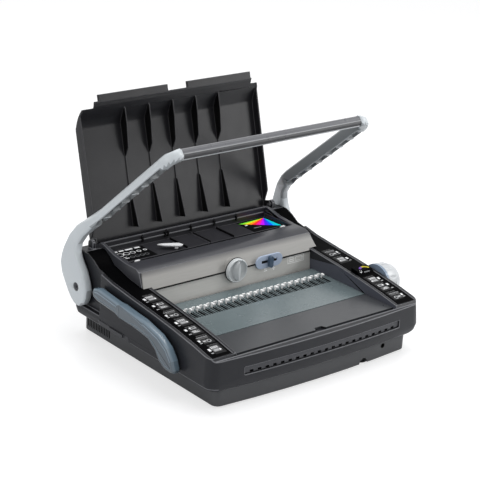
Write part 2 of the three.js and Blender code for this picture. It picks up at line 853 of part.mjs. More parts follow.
// Rear housing: crowned behind the upper fascia, with a recess for the storage tray
function housingOutline(inset) {
  const foot = partingZ;
  const front = fasciaFrontY(partingZ) + fasciaThickness + seatGap + inset;
  const topY = upperFasciaTopY + fasciaThickness + seatGap + inset;
  return [
    [front, foot - overrun], [front, foot + partingGap], [topY, upperFasciaTopZ - inset],
    [housingCrownY - overrun, housingCrownZ - inset],
    [housingCrownY + overrun, housingCrownZ - inset], [recessFrontY, trayRimZ + trayFlange - inset],
    [housingSideY, housingSideZ - inset], [recessRearY - overrun, housingRearZ - inset],
    [housingRearY - inset, housingRearZ - inset], [housingRearY - inset, foot - overrun],
  ];
}

function housingBlock(inset) {
  const wide = housingHalfWidth - inset;
  const narrow = housingTopHalfWidth - inset;
  const profile = drawnAlongX(housingOutline(inset).reverse(), -wide, wide);
  const section = drawnAlongY([
    [-wide, partingZ - overrun], [wide, partingZ - overrun], [wide, partingZ],
    [narrow, housingRearZ], [-narrow, housingRearZ], [-wide, partingZ],
  ], 0, casingRearY);
  return profile.intersect(section);
}

function rearHousing() {
  const cavity = housingBlock(housingWall);
  const recess = box([-recessHalfWidth, recessHalfWidth], [recessFrontY, recessRearY],
    [trayChannelZ, housingTopZ]);
  const shell = carve(housingBlock(0), [cavity, recess, belowPanels(-seatGap)]);
  const bottomOpening = box([-panelInnerX, panelInnerX], [0, housingRearY - housingWall],
    [partingZ - overrun - overrun, partingZ]);
  return carve(shell, [bottomOpening, ...fasciaHoles()]);
}

// Storage tray: a shallow tub with a deeper channel along its front, hung by its rim in the recess
function storageTray() {
  const x = recessHalfWidth - seatGap;
  const y = [recessFrontY + seatGap, recessRearY - seatGap];
  const channelRear = y[0] + trayWall + trayChannelDepth;
  const outer = unite([
    box([-x, x], [y[0], channelRear + trayWall], [trayChannelZ - trayWall, trayRimZ]),
    box([-x, x], [channelRear, y[1]], [trayFloorZ - trayWall, trayRimZ]),
    box([-x, x], [y[1] - trayWall, y[1]], [trayFloorZ - trayWall, housingRearZ]),
  ]);
  const innerX = x - trayWall;
  const channel = box([-innerX, innerX], [y[0] + trayWall, channelRear], [trayChannelZ, housingTopZ]);
  const bowl = box([-innerX, innerX], [channelRear - trayWall, y[1] - trayWall], [trayFloorZ, housingTopZ]);
  const rimX = x - trayFlange;
  const sideRims = [-1, 1].map((side) => box(
    [side * (x + rimX) / 2 - trayWall / 2, side * (x + rimX) / 2 + trayWall / 2], [y[0], y[1]],
    [trayRimZ - trayWall, trayRimZ + trayFlange],
  ));
  const notches = trayNotchShares.map((share) => share * recessHalfWidth).map((middle) => box(
    [middle - trayNotchWidth / 2, middle + trayNotchWidth / 2], [y[1] - trayWall - overrun, y[1] + overrun],
    [housingRearZ - trayNotchDepth, housingTopZ],
  ));
  const ridges = trayRidgeShares.map((share) => share * recessHalfWidth).map((middle) => box(
    [middle - trayRidgeWidth / 2, middle + trayRidgeWidth / 2], [channelRear, y[1] - trayWall / 2],
    [trayFloorZ - trayWall / 2, trayFloorZ + trayRidgeWidth],
  ));
  return unite([carve(outer, [channel, bowl, ...notches]), ...sideRims, ...ridges]);
}

function trayClip(side) {
  const front = recessFrontY + seatGap + trayWall + seatGap;
  const x = [side * clipX - clipWidth / 2, side * clipX + clipWidth / 2];
  const low = trayChannelZ + seatGap;
  const stem = box(x, [front, front + clipDepth / 2], [low, low + clipHeight]);
  return stem.add(box(x, [front, front + clipDepth], [low + clipHeight * 0.7, low + clipHeight]));
}

function trayFinger() {
  const low = trayFloorZ + seatGap;
  const half = latchLength / 2;
  const blade = drawnAlongZ([
    [-half, 0], [-half * 0.4, -latchWidth * 0.4], [half * 0.8, -latchWidth / 2],
    [half, 0], [half * 0.7, latchWidth / 2], [-half * 0.4, latchWidth / 3],
  ], low + latchPost, low + latchPost + latchThickness);
  const post = rodAlongZ(latchWidth / 4, low, low + latchPost + latchThickness / 2, half / 2, 0);
  return moved(blade.add(post).rotate([0, 0, latchTurn]), latchX, latchY, 0);
}

// Lid, drawn closed with its hinge axis at the origin: u runs from the axis to the free edge, h up
function lidPoint(u, h) {
  return [-u, h];
}

function lidSlab(x0, x1, points) {
  return drawnAlongX(points.map(([u, h]) => lidPoint(u, h)), x0, x1);
}

function lidBlock(inset, low, high) {
  const half = lidHalfWidth - inset;
  const far = lidLength - inset;
  const corner = lidCorner - inset;
  const points = [];
  [[half - corner, corner - far, -1], [corner - half, corner - far, -2]].forEach(([x, y, quarter]) => {
    for (let step = 0; step <= cornerSteps; step += 1) {
      const angle = (quarter + 1 - step / cornerSteps) * Math.PI / 2;
      points.push([x + corner * Math.cos(angle), y + corner * Math.sin(angle)]);
    }
  });
  const near = inset > 0 ? overrun : lidTail;
  points.push([-half, near], [half, near]);
  return drawnAlongZ(points.reverse(), low, high);
}

function lidRib(x) {
  const top = lidOffset + lidThickness / 2;
  const line = lidOffset - lidRibLine;
  const places = lidRibShares.map((share) => share * lidLength);
  return lidSlab(x - lidRibThickness / 2, x + lidRibThickness / 2, [
    [places[0], top], [places[0], lidOffset - lidRibLow], [places[1], lidOffset - lidRibMiddle],
    [places[2], line],
    [places[3], line], [places[4], lidOffset - lidRibEnd], [places[5], lidOffset - lidRibHigh],
    [places[7], lidOffset - lidRibHigh], [places[8], lidOffset - lidRibHigh + lidThickness], [places[6], top],
  ]);
}

function lidEars() {
  const x = [lidHalfWidth - lidThickness, lidHalfWidth];
  const near = lidEar * lidEarShare;
  const plate = box(x, [-lidEar, near], [-near, lidOffset + lidThickness / 2]);
  const ear = plate.subtract(rodAlongX(hingePinRadius + seatGap, x[0] - overrun, x[1] + overrun, 0, 0));
  return unite([ear, mirrored(ear)]);
}

// Side view of the lid between its outer surface and a surface a given depth below it
function lidProfile(depth, foot) {
  const start = lidLength - lidLipLength;
  const lip = lidLipShares.map(([u, v]) => [start + u * lidLipLength,
    lidOffset + lidThickness - depth - v * lidLipDrop]);
  const low = lidOffset - lidFlange;
  const near = -lidTail - overrun * depth / lidThickness;
  return [
    [near, lidOffset + lidThickness - depth], ...lip,
    [lidLength + overrun * depth / lidThickness, foot], [start + lidLipLength / 2, foot],
    [start, Math.min(low, foot)],
    [near, Math.min(low, foot)],
  ];
}

function lid() {
  const top = lidOffset + lidThickness;
  const tipZ = top - lidLipDrop;
  const wide = lidHalfWidth + overrun;
  const outer = lidBlock(0, tipZ - lidThickness - overrun, top + overrun);
  const inner = lidBlock(lidThickness, tipZ - lidThickness - overrun * 2, top);
  const block = outer.intersect(lidSlab(-wide, wide, lidProfile(0, tipZ - lidThickness)));
  const hollow = inner.intersect(lidSlab(-wide, wide,
    lidProfile(lidThickness, tipZ - lidThickness - overrun)));
  const footCut = lidSlab(-wide, wide, [
    [-overrun, tipZ - overrun], [lidFlangeStart + overrun, tipZ - overrun],
    [lidFlangeStart, lidOffset - lidFlange], [lidEar, lidOffset - lidEar / 2], [lidEar, lidOffset],
    [-overrun, lidOffset],
  ]);
  const lipCut = lidSlab(-wide, wide, [
    [lidLength + overrun, tipZ - lidThickness], [lidLength, tipZ - lidThickness],
    [lidLength - lidThickness, tipZ - lidThickness], [lidLength - lidLipLength / 2, lidOffset - lidFlange],
    [lidFlangeStart, lidOffset - lidFlange], [lidFlangeStart, tipZ - overrun * 2],
    [lidLength + overrun, tipZ - overrun * 2],
  ]);
  const corner = box(
    [lidStepShares[1] * lidHalfWidth, wide], [-lidLength - overrun, lidStep - lidLength],
    [tipZ - overrun * 2, top + overrun],
  );
  const leftCorner = box(
    [-wide, lidStepShares[0] * lidHalfWidth], [-lidLength - overrun, lidStep - lidLength],
    [tipZ - overrun * 2, top + overrun],
  );
  const tray = carve(block, [hollow, footCut, lipCut, corner, leftCorner]);
  const ribs = Array.from({ length: lidRibCount },
    (_, i) => lidRib((i - (lidRibCount - 1) / 2) * lidRibPitch));
  const tabs = lidTabShares.map(([u0, u1]) => lidSlab(u0 * lidHalfWidth, u1 * lidHalfWidth, [
    [lidLength - lidThickness, tipZ], [lidLength - lidThickness, tipZ - lidThickness],
    [lidLength + lidTabHeight, tipZ - lidThickness],
    [lidLength + lidTabHeight, tipZ - lidThickness + lidTabThickness],
    [lidLength - lidThickness, tipZ - lidThickness + lidTabThickness],
  ]));
  return unite([tray, ...ribs, ...tabs, lidEars()]);
}

// Handle arms: a hub beside the casing's recess, a straight arm over the side panel, and a turn to the grip
const armAngle = armRise * Math.PI / 180;

function alongArm(reach, offset) {
  return [
    offset * Math.cos(armAngle) - reach * Math.sin(armAngle),
    offset * Math.sin(armAngle) + reach * Math.cos(armAngle),
  ];
}

function armPath() {
  const path = [...hubShares, ...armShares].map(([u, v, across, tilt, inward = 0]) => ({
    x: hubX - inward * armInset, y: pivotY + u * hubWidth, z: pivotZ + v * hubWidth,
    width: across * hubWidth, tilt, turn: 0,
  }));
  const straightEnd = gripReach - armTurnRadius;
  [[armDepth, 0.2], [2 * armDepth, 0], [straightEnd / 2, 0], [straightEnd, 0]].forEach(([reach, share]) => {
    const [y, z] = alongArm(reach, armStraightOffset);
    path.push({ x: armStraightX + (hubX - armStraightX) * share, y, z, width: armDepth, tilt: armRise,
      turn: 0, fill: 1 - share });
  });
  for (let step = 1; step <= armTurnSteps; step += 1) {
    const turn = step / armTurnSteps * Math.PI / 2;
    const [y, z] = alongArm(straightEnd + armTurnRadius * Math.sin(turn), armStraightOffset);
    const width = armDepth + (2 * gripRadius - armDepth) * step / armTurnSteps;
    const fill = 1 - step / armTurnSteps;
    path.push({ x: armStraightX - armTurnRadius * (1 - Math.cos(turn)), y, z, width, tilt: armRise, turn,
      fill });
  }
  return path;
}

// One section of the arm: tilt turns it about x from lying level, turn swings it towards the grip
function armSection({ x, y, z, width, tilt, turn, fill = 0 }) {
  const angle = tilt * Math.PI / 180;
  const across = new THREE.Vector3(0, Math.cos(angle), Math.sin(angle));
  const ahead = new THREE.Vector3(0, -Math.sin(angle), Math.cos(angle));
  const side = alongX.clone().multiplyScalar(Math.cos(turn)).addScaledVector(ahead, Math.sin(turn));
  const half = armThickness / 2;
  const depth = width / 2;
  const round = Math.min(half, depth) * armRoundShare;
  const outer = half + armFlare * fill;
  const outerTop = depth - armCrown * fill;
  const outline = [
    [outer, outerTop - round], [outer - round, outerTop], [round - half, depth], [-half, depth - round],
    [-half, round - depth], [round - half, -depth], [outer - round, -depth], [outer, round - depth],
  ];
  const centre = new THREE.Vector3(x, y, z);
  return outline.map(([u, v]) => centre.clone().addScaledVector(side, u).addScaledVector(across, v));
}

function armBody() {
  return lofted(armPath().map(armSection));
}

function armCells() {
  const pitch = (ribCellEnd - ribCellStart) / ribCellCount;
  const inner = armStraightX - armThickness / 2 + ribCellSide;
  const outer = armStraightX + armThickness / 2 + armFlare - ribCellSide;
  const face = armStraightOffset - armDepth / 2;
  return Array.from({ length: ribCellCount }, (_, i) => {
    const start = ribCellStart + i * pitch;
    const end = start + pitch - ribCellWall;
    return drawnAlongX([
      alongArm(start, face - overrun), alongArm(start, face + ribCellDepth),
      alongArm(end, face + ribCellDepth), alongArm(end, face - overrun),
    ], inner, outer);
  });
}

function rightArm() {
  const outer = hubX + hubThickness / 2;
  const shaftBore = rodAlongX(shaftRadius + seatGap, 0, outer - screwHeadDepth - screwRecess - casingWall,
    pivotY, pivotZ);
  const headBore = rodAlongX(screwHeadRadius + seatGap, outer - screwHeadDepth - screwRecess,
    outer + overrun, pivotY, pivotZ);
  const screwBore = rodAlongX(screwRadius + runGap, 0, outer, pivotY, pivotZ);
  const [rodY, rodZ] = alongArm(gripReach, armStraightOffset);
  const rodBore = rodAlongX(gripRodRadius + seatGap, 0, handleTopX + armTurnRadius / 2, rodY, rodZ);
  return carve(armBody(), [...armCells(), shaftBore, headBore, screwBore, rodBore]);
}

function handleGrip() {
  const [y, z] = alongArm(gripReach, armStraightOffset);
  const x = handleTopX - seatGap;
  const bar = rodAlongX(gripRadius, -x, x, y, z, fineSides);
  const grooves = Array.from({ length: gripGrooves }, (_, i) => {
    const angle = armAngle + (i - 1) * Math.PI / 5 + Math.PI / 2;
    const cut = box([-x - overrun, x + overrun], [gripRadius - gripGrooveDepth, gripRadius + overrun],
      [-gripGrooveWidth / 2, gripGrooveWidth / 2]);
    return moved(cut.rotate([angle * 180 / Math.PI, 0, 0]), 0, y, z);
  });
  const bore = rodAlongX(gripRodRadius + seatGap, -x - overrun, x + overrun, y, z);
  return carve(bar, [...grooves, bore]);
}

function gripRod() {
  const [y, z] = alongArm(gripReach, armStraightOffset);
  const x = handleTopX + armTurnRadius / 2 - seatGap;
  return rodAlongX(gripRodRadius, -x, x, y, z);
}

function handleShaft() {
  const x = hubX + hubThickness / 2 - screwHeadDepth - screwRecess - casingWall - seatGap;
  const shaft = rodAlongX(shaftRadius, -x, x, pivotY, pivotZ);
  const bores = [-1, 1].map((side) => rodAlongX(
    screwRadius + seatGap / 2, Math.min(side * x, side * (x - shaftEmbed)) - seatGap,
    Math.max(side * x, side * (x - shaftEmbed)) + seatGap, pivotY, pivotZ,
  ));
  return carve(shaft, bores);
}

function pivotScrew() {
  const outer = hubX + hubThickness / 2 - screwRecess;
  const head = rodAlongX(screwHeadRadius, outer - screwHeadDepth + seatGap, outer, pivotY, pivotZ);
  const low = hubX + hubThickness / 2 - screwHeadDepth - screwRecess - casingWall - shaftEmbed + runGap;
  const stem = rodAlongX(screwRadius, low, outer - screwHeadDepth / 2, pivotY, pivotZ);
  const socket = rodAlongX(screwHeadRadius / 2.4, outer - screwHeadDepth / 2, outer + overrun, pivotY,
    pivotZ, 6);
  return head.add(stem).subtract(socket);
}

// A crank clamped on a shaft, its pin below the shaft at rest
function crank(boreRadius, reach, x0, pinX1, y, z) {
  const x1 = x0 + crankThickness;
  const arm = box([x0, x1], [y - crankWidth / 2, y + crankWidth / 2], [z - reach, z]);
  const hub = rodAlongX(boreRadius + forkWall, x0, x1, y, z);
  const foot = rodAlongX(crankWidth / 2, x0, x1, y, z - reach);
  const pin = rodAlongX(crankPinRadius, Math.min(x0, pinX1), Math.max(x1, pinX1), y, z - reach);
  return unite([arm, hub, foot, pin]).subtract(rodAlongX(boreRadius + seatGap / 2, x0 - overrun,
    x1 + overrun, y, z));
}

// A fork round a crank pin: two fingers along z with slack on both sides of the pin
function fork(x0, x1, y, z, rise) {
  const half = crankPinRadius + forkSlack;
  const block = box([x0, x1], [y - half - forkWall, y + half + forkWall], [z - half - forkWall, z + rise]);
  const slot = box([x0 - overrun, x1 + overrun], [y - half, y + half], [z - half, z + rise + overrun]);
  return block.subtract(slot);
}

// Punch: pins in front of the throat are drawn back through guide, sheet and die
const pinBarRearY = throatFrontY - plateThickness - punchTravel - runGap - seatGap;
const pinBarZ = [dieHoleZ - pinBarHeight / 2, dieHoleZ + drawBarHeight / 2];

function punchHoles(y) {
  return Array.from({ length: holeCount }, (_, i) => {
    const halfWidth = pinWidth / 2 + pinClearance;
    const halfHeight = pinHeight / 2 + pinClearance;
    return box([hookX(i) - halfWidth, hookX(i) + halfWidth], y,
      [dieHoleZ - halfHeight, dieHoleZ + halfHeight]);
  });
}

function punchPlate(y0) {
  const y = [y0, y0 + plateThickness];
  const plate = box([-plateHalfWidth, plateHalfWidth], y, [throatFloorZ, floorBottomZ - seatGap]);
  return plate.subtract(unite(punchHoles([y[0] - overrun, y[1] + overrun])));
}

function paperStop() {
  const y = [throatFrontY - plateThickness, throatRearY + plateThickness];
  const low = drawerLowZ + drawerHeight + runGap + seatGap;
  return box([-plateHalfWidth, plateHalfWidth], y, [low, throatFloorZ - seatGap]);
}

function punchPinBar() {
  const y = [pinBarRearY - pinBarDepth, pinBarRearY];
  const bar = box([-pinBarHalfWidth, pinBarHalfWidth], y, pinBarZ);
  const pins = Array.from({ length: holeCount }, (_, i) => box(
    [hookX(i) - pinWidth / 2, hookX(i) + pinWidth / 2],
    [pinBarRearY - pinBarDepth / 2, throatFrontY - seatGap],
    [dieHoleZ - pinHeight / 2, dieHoleZ + pinHeight / 2],
  ));
  return unite([bar, ...pins]);
}

function drawBar() {
  const x0 = drawBarX - drawBarThickness / 2;
  const x1 = drawBarX + drawBarThickness / 2;
  const pinZ = pivotZ - handleCrankReach;
  const low = pinBarZ[0];
  const half = crankPinRadius + forkSlack + forkWall;
  const bar = drawnAlongX([
    [pinBarRearY + seatGap, low], [pivotY - half - forkWall, low], [pivotY - half + forkWall, pinZ - half],
    [pivotY - half + forkWall, pinZ], [pivotY - half - forkWall, pinZ - half + drawBarHeight],
    [pivotY - half - forkWall * 3, low + drawBarHeight],
    [pinBarRearY + seatGap, low + drawBarHeight],
  ], x0, x1);
  return bar.add(fork(x0, x1, pivotY, pinZ, handleCrankReach / 2));
}

// Comb opener: fixed posts, and hooks that travel forward
const postPlateZ = [floorBottomZ - postFoot, floorBottomZ - seatGap];

function combPosts() {
  const rear = postY + postThickness / 2;
  const plate = box([-plateHalfWidth, plateHalfWidth], [postY - postThickness / 2, rear + postPlateDepth],
    postPlateZ);
  const posts = Array.from({ length: holeCount }, (_, i) => drawnAlongY([
    [hookX(i) - postWidth / 2, postPlateZ[0] + overrun], [hookX(i) + postWidth / 2, postPlateZ[0] + overrun],
    [hookX(i) + postWidth / 2, deckTopZ + postHeight * 0.6],
    [hookX(i) + postWidth / 4, deckTopZ + postHeight],
    [hookX(i) - postWidth / 4, deckTopZ + postHeight],
    [hookX(i) - postWidth / 2, deckTopZ + postHeight * 0.6],
  ], postY - postThickness / 2, rear));
  return unite([plate, ...posts]);
}

function combRake() {
  const front = hookRearY - hookThickness;
  const barZ = [floorBottomZ - seatGap - rakeHeight, floorBottomZ - seatGap];
  const bar = box([-rakeHalfWidth, rakeHalfWidth], [hookRearY - rakeDepth, hookRearY], barZ);
  const hooks = Array.from({ length: holeCount }, (_, i) => {
    const x = hookX(i) + hookOffset;
    const top = deckTopZ + hookHeight;
    return drawnAlongX([
      [hookRearY, barZ[0]], [hookRearY, top - hookWidth], [hookRearY - hookThickness / 2, top],
      [front - hookBeak, top],
      [front - hookBeak, top - hookWidth], [front, top - hookWidth - hookWidth / 2], [front, barZ[0]],
    ].reverse(), x - hookWidth / 2, x + hookWidth / 2);
  });
  return unite([bar, ...hooks]);
}

function rakeLink() {
  const x0 = -rakeLinkX - drawBarThickness / 2;
  const x1 = -rakeLinkX + drawBarThickness / 2;
  const pinZ = leverPivotZ - leverCrankReach;
  const half = crankPinRadius + forkSlack + forkWall;
  const barZ = [floorBottomZ - seatGap - rakeHeight, floorBottomZ - seatGap];
  const y = [hookRearY - rakeDepth, hookRearY];
  const cross = box([x0, -rakeHalfWidth - seatGap], y, barZ);
  const arm = drawnAlongX([
    [y[0], barZ[0]], [leverPivotY - half, barZ[0]], [leverPivotY - half + forkWall, pinZ - half],
    [leverPivotY - half + forkWall, pinZ], [leverPivotY - half - forkWall, barZ[1]], [y[0], barZ[1]],
  ], x0, x1);
  return unite([cross, arm, fork(x0, x1, leverPivotY, pinZ, leverCrankReach / 2)]);
}

// Comb lever: one outline, split across into a hub piece and a handle piece
function leverOutline() {
  return [...leverTopShares, ...leverBottomShares]
    .map(([u, v]) => [leverRearY - u * leverLength, leverLowZ + v * leverRise]);
}

function leverBlank() {
  const shape = flatShape(leverOutline().reverse());
  const bevel = leverBevel * 0.5;
  const geometry = new THREE.ExtrudeGeometry(shape, {
    depth: leverThickness - 2 * bevel, bevelEnabled: true, bevelThickness: bevel, bevelSize: bevel,
    bevelOffset: -bevel, bevelSegments: 2, curveSegments: cornerSteps,
  });
  geometry.applyMatrix4(new THREE.Matrix4().makeBasis(alongY, alongZ, alongX));
  return moved(toSolid(geometry), -leverInnerX - leverThickness + bevel, 0, 0);
}

function leverHalf(y0, y1) {
  const x = [-leverInnerX - leverThickness - overrun, -leverInnerX + overrun];
  const bore = rodAlongX(leverShaftRadius + seatGap / 2, -leverInnerX - leverThickness / 2,
    -leverInnerX + overrun, leverPivotY, leverPivotZ);
  return leverBlank().intersect(box(x, [y0, y1], [0, rimZ + panelRise])).subtract(bore);
}

function leverShaft() {
  const outer = -leverInnerX - leverThickness / 2 + seatGap;
  const inner = -rakeLinkX + drawBarThickness / 2 + runGap;
  return rodAlongX(leverShaftRadius, outer, inner + crankThickness + overrun / 2, leverPivotY, leverPivotZ);
}

// Wire closer: knob, fixed ring, shaft, closing bar and the bed it presses on
function closerKnob() {
  const x0 = ringSeatX + closerRingThickness + runGap;
  const tip = x0 + closerKnobLength;
  const points = [
    [0, x0], [closerKnobRadius, x0], [closerKnobRadius, (x0 + tip) / 2],
    [closerKnobTipRadius + closerKnobEase, tip - closerKnobEase],
    [closerKnobTipRadius, tip], [0, tip],
  ].map(([r, x]) => new THREE.Vector2(r, x));
  const geometry = new THREE.LatheGeometry(points, fineSides);
  geometry.rotateZ(-Math.PI / 2);
  geometry.translate(0, closerY, closerZ);
  const grips = Array.from({ length: closerGripCount }, (_, i) => {
    const angle = i * 2 * Math.PI / closerGripCount;
    const reach = closerKnobRadius + closerGripRadius * 0.5;
    return rodAlongX(closerGripRadius, x0 + casingWall, tip + overrun, closerY + reach * Math.cos(angle),
      closerZ + reach * Math.sin(angle), 8);
  });
  const bore = rodAlongX(closerShaftRadius + seatGap / 2, 0, x0 + closerRingThickness, closerY, closerZ);
  return carve(toSolid(geometry), [...grips, bore]);
}

function closerRing() {
  const x = [ringSeatX + seatGap, ringSeatX + closerRingThickness];
  return rodAlongX(closerRingRadius, x[0], x[1], closerY, closerZ, fineSides)
    .subtract(rodAlongX(closerShaftRadius + runGap, x[0] - overrun, x[1] + overrun, closerY, closerZ));
}

const closerCrankX = closerLinkX + drawBarThickness / 2 + runGap;

function closerShaft() {
  return rodAlongX(closerShaftRadius, closerCrankX + seatGap, ringSeatX + closerRingThickness * 2, closerY,
    closerZ);
}

const closerBarZ = [bedFloorZ + bedThickness + runGap, bedFloorZ + bedThickness + runGap + closerBarHeight];

function closingBar() {
  return box([-closerBarHalfWidth, closerBarHalfWidth],
    [closerBarY - closerBarDepth / 2, closerBarY + closerBarDepth / 2], closerBarZ);
}

function closerLink() {
  const x0 = closerLinkX - drawBarThickness / 2;
  const x1 = closerLinkX + drawBarThickness / 2;
  const pinZ = closerZ - closerCrankReach;
  const half = crankPinRadius + forkSlack + forkWall;
  const y = [closerBarY - closerBarDepth / 2, closerBarY + closerBarDepth / 2];
  const cross = box([closerBarHalfWidth + seatGap, x1], y, closerBarZ);
  const arm = box([x0, x1], [y[0], closerY + half], [closerBarZ[0], pinZ - half + forkWall]);
  return unite([cross, arm, fork(x0, x1, closerY, pinZ, closerCrankReach)]);
}

function closerBed() {
  const low = bedFloorZ;
  const profile = [
    [bedFrontY, low], [bedRearY, low], [bedRearY, low + bedThickness],
    [bedFrontY + bedThickness, low + bedThickness], [bedFrontY + bedThickness, floorBottomZ - seatGap],
    [bedFrontY, floorBottomZ - seatGap],
  ];
  return drawnAlongX(profile, -bedHalfWidth, bedHalfWidth);
}

// Slot strip: it follows the bow of the casing's front, set back by a small step
function slotStrip() {
  const gap = seatGap;
  const ring = (depth) => planRing(casingHalfWidth - depth, casingFrontY + depth, casingRearY - depth,
    casingCorner, casingBow, stripLowZ + gap);
  const tall = (points) => lofted([points,
    points.map((point) => point.clone().setZ(stripLowZ + stripHeight - gap))]);
  const skin = tall(ring(stripThickness / 2)).subtract(tall(ring(stripThickness * 1.5)));
  const x = [stripMiddleX - stripHalfWidth + gap, stripMiddleX + stripHalfWidth - gap];
  const front = skin.intersect(box(x, [casingFrontY - casingBow - overrun, casingFrontY + casingCorner],
    [0, rimZ]));
  const z = stripLowZ + stripHeight * stripSlotShare;
  const slots = Array.from({ length: holeCount }, (_, i) => {
    const middle = stripMiddleX + hookX(i);
    return box([middle - stripSlotWidth / 2, middle + stripSlotWidth / 2],
      [casingFrontY - casingBow - overrun, casingFrontY + casingCorner],
      [z - stripSlotHeight / 2, z + stripSlotHeight / 2]);
  });
  return front.subtract(unite(slots));
}

// Margin knob with a finger blade across its dish
const knobBackY = fasciaFrontY(partingZ) - lowerFasciaLean - knobStandOff;

function marginKnob() {
  const front = knobBackY - knobDepth;
  const disc = rodAlongY(knobRadius, front, knobBackY, knobX, knobZ, fineSides);
  const dish = rodAlongY(knobRadius * knobDishShare, front - overrun, front + knobDish, knobX, knobZ,
    fineSides);
  const blade = box([knobX - knobBladeWidth / 2, knobX + knobBladeWidth / 2],
    [front - knobDish / 2, knobBackY - knobDish / 2],
    [knobZ - knobRadius * knobBladeShare, knobZ + knobRadius * knobBladeShare]);
  const bore = rodAlongY(spindleRadius + seatGap / 2, front + knobDish + seatGap, knobBackY + overrun, knobX,
    knobZ);
  return disc.subtract(dish).add(blade).subtract(bore);
}

function marginSpindle() {
  return rodAlongY(spindleRadius, knobBackY - knobDepth + knobDish + seatGap + seatGap, upperFasciaTopY,
    knobX, knobZ);
}

function stadium(length, height, y0, y1, x, z) {
  const reach = (length - height) / 2;
  return unite([
    box([x - reach, x + reach], [y0, y1], [z - height / 2, z + height / 2]),
    rodAlongY(height / 2, y0, y1, x - reach, z), rodAlongY(height / 2, y0, y1, x + reach, z),
  ]);
}

function selectorBezel() {
  const back = fasciaFrontY(selectorZ - selectorHeight / 2) - seatGap;
  const plate = stadium(selectorLength, selectorHeight, back - selectorDepth, back, selectorX, selectorZ);
  return plate.subtract(selectorSlot(runGap));
}

function selectorSlider() {
  const back = fasciaFrontY(selectorZ - selectorHeight / 2) - seatGap - selectorDepth - seatGap;
  const grip = stadium(sliderHeight, sliderWidth, back - sliderDepth, back, 0, 0).rotate([0, 90, 0]);
  const stemHalf = sliderWidth / 2;
  const stem = box([-stemHalf, stemHalf],
    [back - sliderDepth / 2, fasciaFrontY(partingZ) + fasciaThickness + sliderDepth],
    [-selectorSlotHeight / 2, selectorSlotHeight / 2]);
  return moved(grip.add(stem), selectorX, 0, selectorZ);
}

function sizeGauge() {
  const y0 = gaugeY - gaugeLength / 2;
  const y1 = gaugeY + gaugeLength / 2;
  const low = seatGap;
  return drawnAlongX([
    [y0, panelZ(y0) + low], [y1, panelZ(y1) + low], [y1, panelZ(y1) + gaugeHeight],
    [y0 + gaugeLength / 3, panelZ(gaugeY) + gaugeHeight],
  ], gaugeX - gaugeWidth / 2, gaugeX + gaugeWidth / 2);
}

// Base pan: drafted walls, runners for the chip drawer, vents, a round hole and screw holes
function basePan() {
  const ring = (inset, z) => planRing(
    bandHalfWidth - inset, bandFrontY + inset, bandRearY - inset, bandCorner - inset, casingBow, z,
  );
  const outer = lofted([ring(baseDraft, footHeight), ring(seatGap, baseTopZ)]);
  const inner = lofted([ring(baseDraft + baseWall, footHeight + baseWall),
    ring(seatGap + baseWall, baseTopZ + overrun)]);
  const tongueInset = casingWall + runGap;
  const tongueZ = [baseTopZ - tongueHeight + tongueReach, baseTopZ + tongueReach];
  const tongue = lofted(tongueZ.map((z) => ring(tongueInset, z)))
    .subtract(lofted([tongueZ[0] - overrun,
      tongueZ[1] + overrun].map((z) => ring(tongueInset + baseWall, z))));
  const bridge = lofted([tongueZ[0], baseTopZ - seatGap].map((z) => ring(baseWall, z)))
    .subtract(lofted([tongueZ[0] - overrun,
      baseTopZ + overrun].map((z) => ring(tongueInset + baseWall / 2, z))));
  const wallX = [-bandHalfWidth, -bandHalfWidth + overrun * 2];
  const vents = Array.from({ length: ventCount }, (_, i) => {
    const y = ventFrontY + i * ventPitch;
    return box(wallX, [y, y + ventWidth], [ventLowZ, ventHighZ]);
  });
  const jack = rodAlongY(jackRadius, bandFrontY - casingBow, bandFrontY + overrun * 2, jackX, jackZ);
  const notch = rodAlongY(notchRadius, bandFrontY - casingBow - overrun, bandFrontY + overrun / 2, notchX,
    footHeight, fineSides);
  const runnerReach = drawerLength / 2;
  const runners = [drawerFrontY, drawerRearY - drawerRunnerWidth].map((y) => box(
    [-runnerReach, runnerReach], [y, y + drawerRunnerWidth],
    [footHeight + baseWall / 2, drawerLowZ - seatGap],
  ));
  const heads = columnPlaces().map(([x, y]) => rodAlongZ(baseScrewHead + seatGap, 0,
    footHeight + baseScrewHeadDepth, x, y));
  return carve(unite([outer.subtract(inner), tongue, bridge, ...runners]),
    [...vents, jack, notch, ...screwBores(screwHole), ...heads]);
}

function foot(x, y) {
  return rodAlongZ(footRadius, 0, footHeight - seatGap, x, y, fineSides);
}

function baseScrew(x, y) {
  const headTop = footHeight + baseScrewHeadDepth - seatGap;
  const head = rodAlongZ(baseScrewHead, footHeight, headTop, x, y);
  return head.add(rodAlongZ(screwRadius, footHeight + seatGap, footHeight + baseWall + baseScrewLength, x,
    y));
}

// Chip drawer: a long tray whose left end is a piece of the casing's side
function chipDrawer() {
  const y = [drawerFrontY, drawerRearY];
  const z = [drawerLowZ, drawerLowZ + drawerHeight];
  const left = -casingHalfWidth;
  const outer = box([left - drawerPullDepth, left + drawerLength], y, z);
  const inner = box([left + casingHalfWidth - bandHalfWidth + drawerWall, left + drawerLength - drawerWall],
    [y[0] + drawerWall, y[1] - drawerWall], [z[0] + drawerWall, z[1] + overrun]);
  const sideFace = casingBlock(-seatGap, casingTopZ);
  const middle = drawerPullY;
  const pull = box([left - drawerPullDepth, -bandHalfWidth],
    [middle - drawerPullLength / 2, middle + drawerPullLength / 2], [z[1] - drawerPullDepth, z[1]]);
  return outer.subtract(inner).intersect(sideFace).add(pull);
}

// Assembly
const machine = new THREE.Group();

function add(name, solid, finish) {
  const mesh = new THREE.Mesh(toGeometry(solid), new THREE.MeshStandardMaterial(finish));
  mesh.name = name;
  machine.add(mesh);
  return mesh;
}

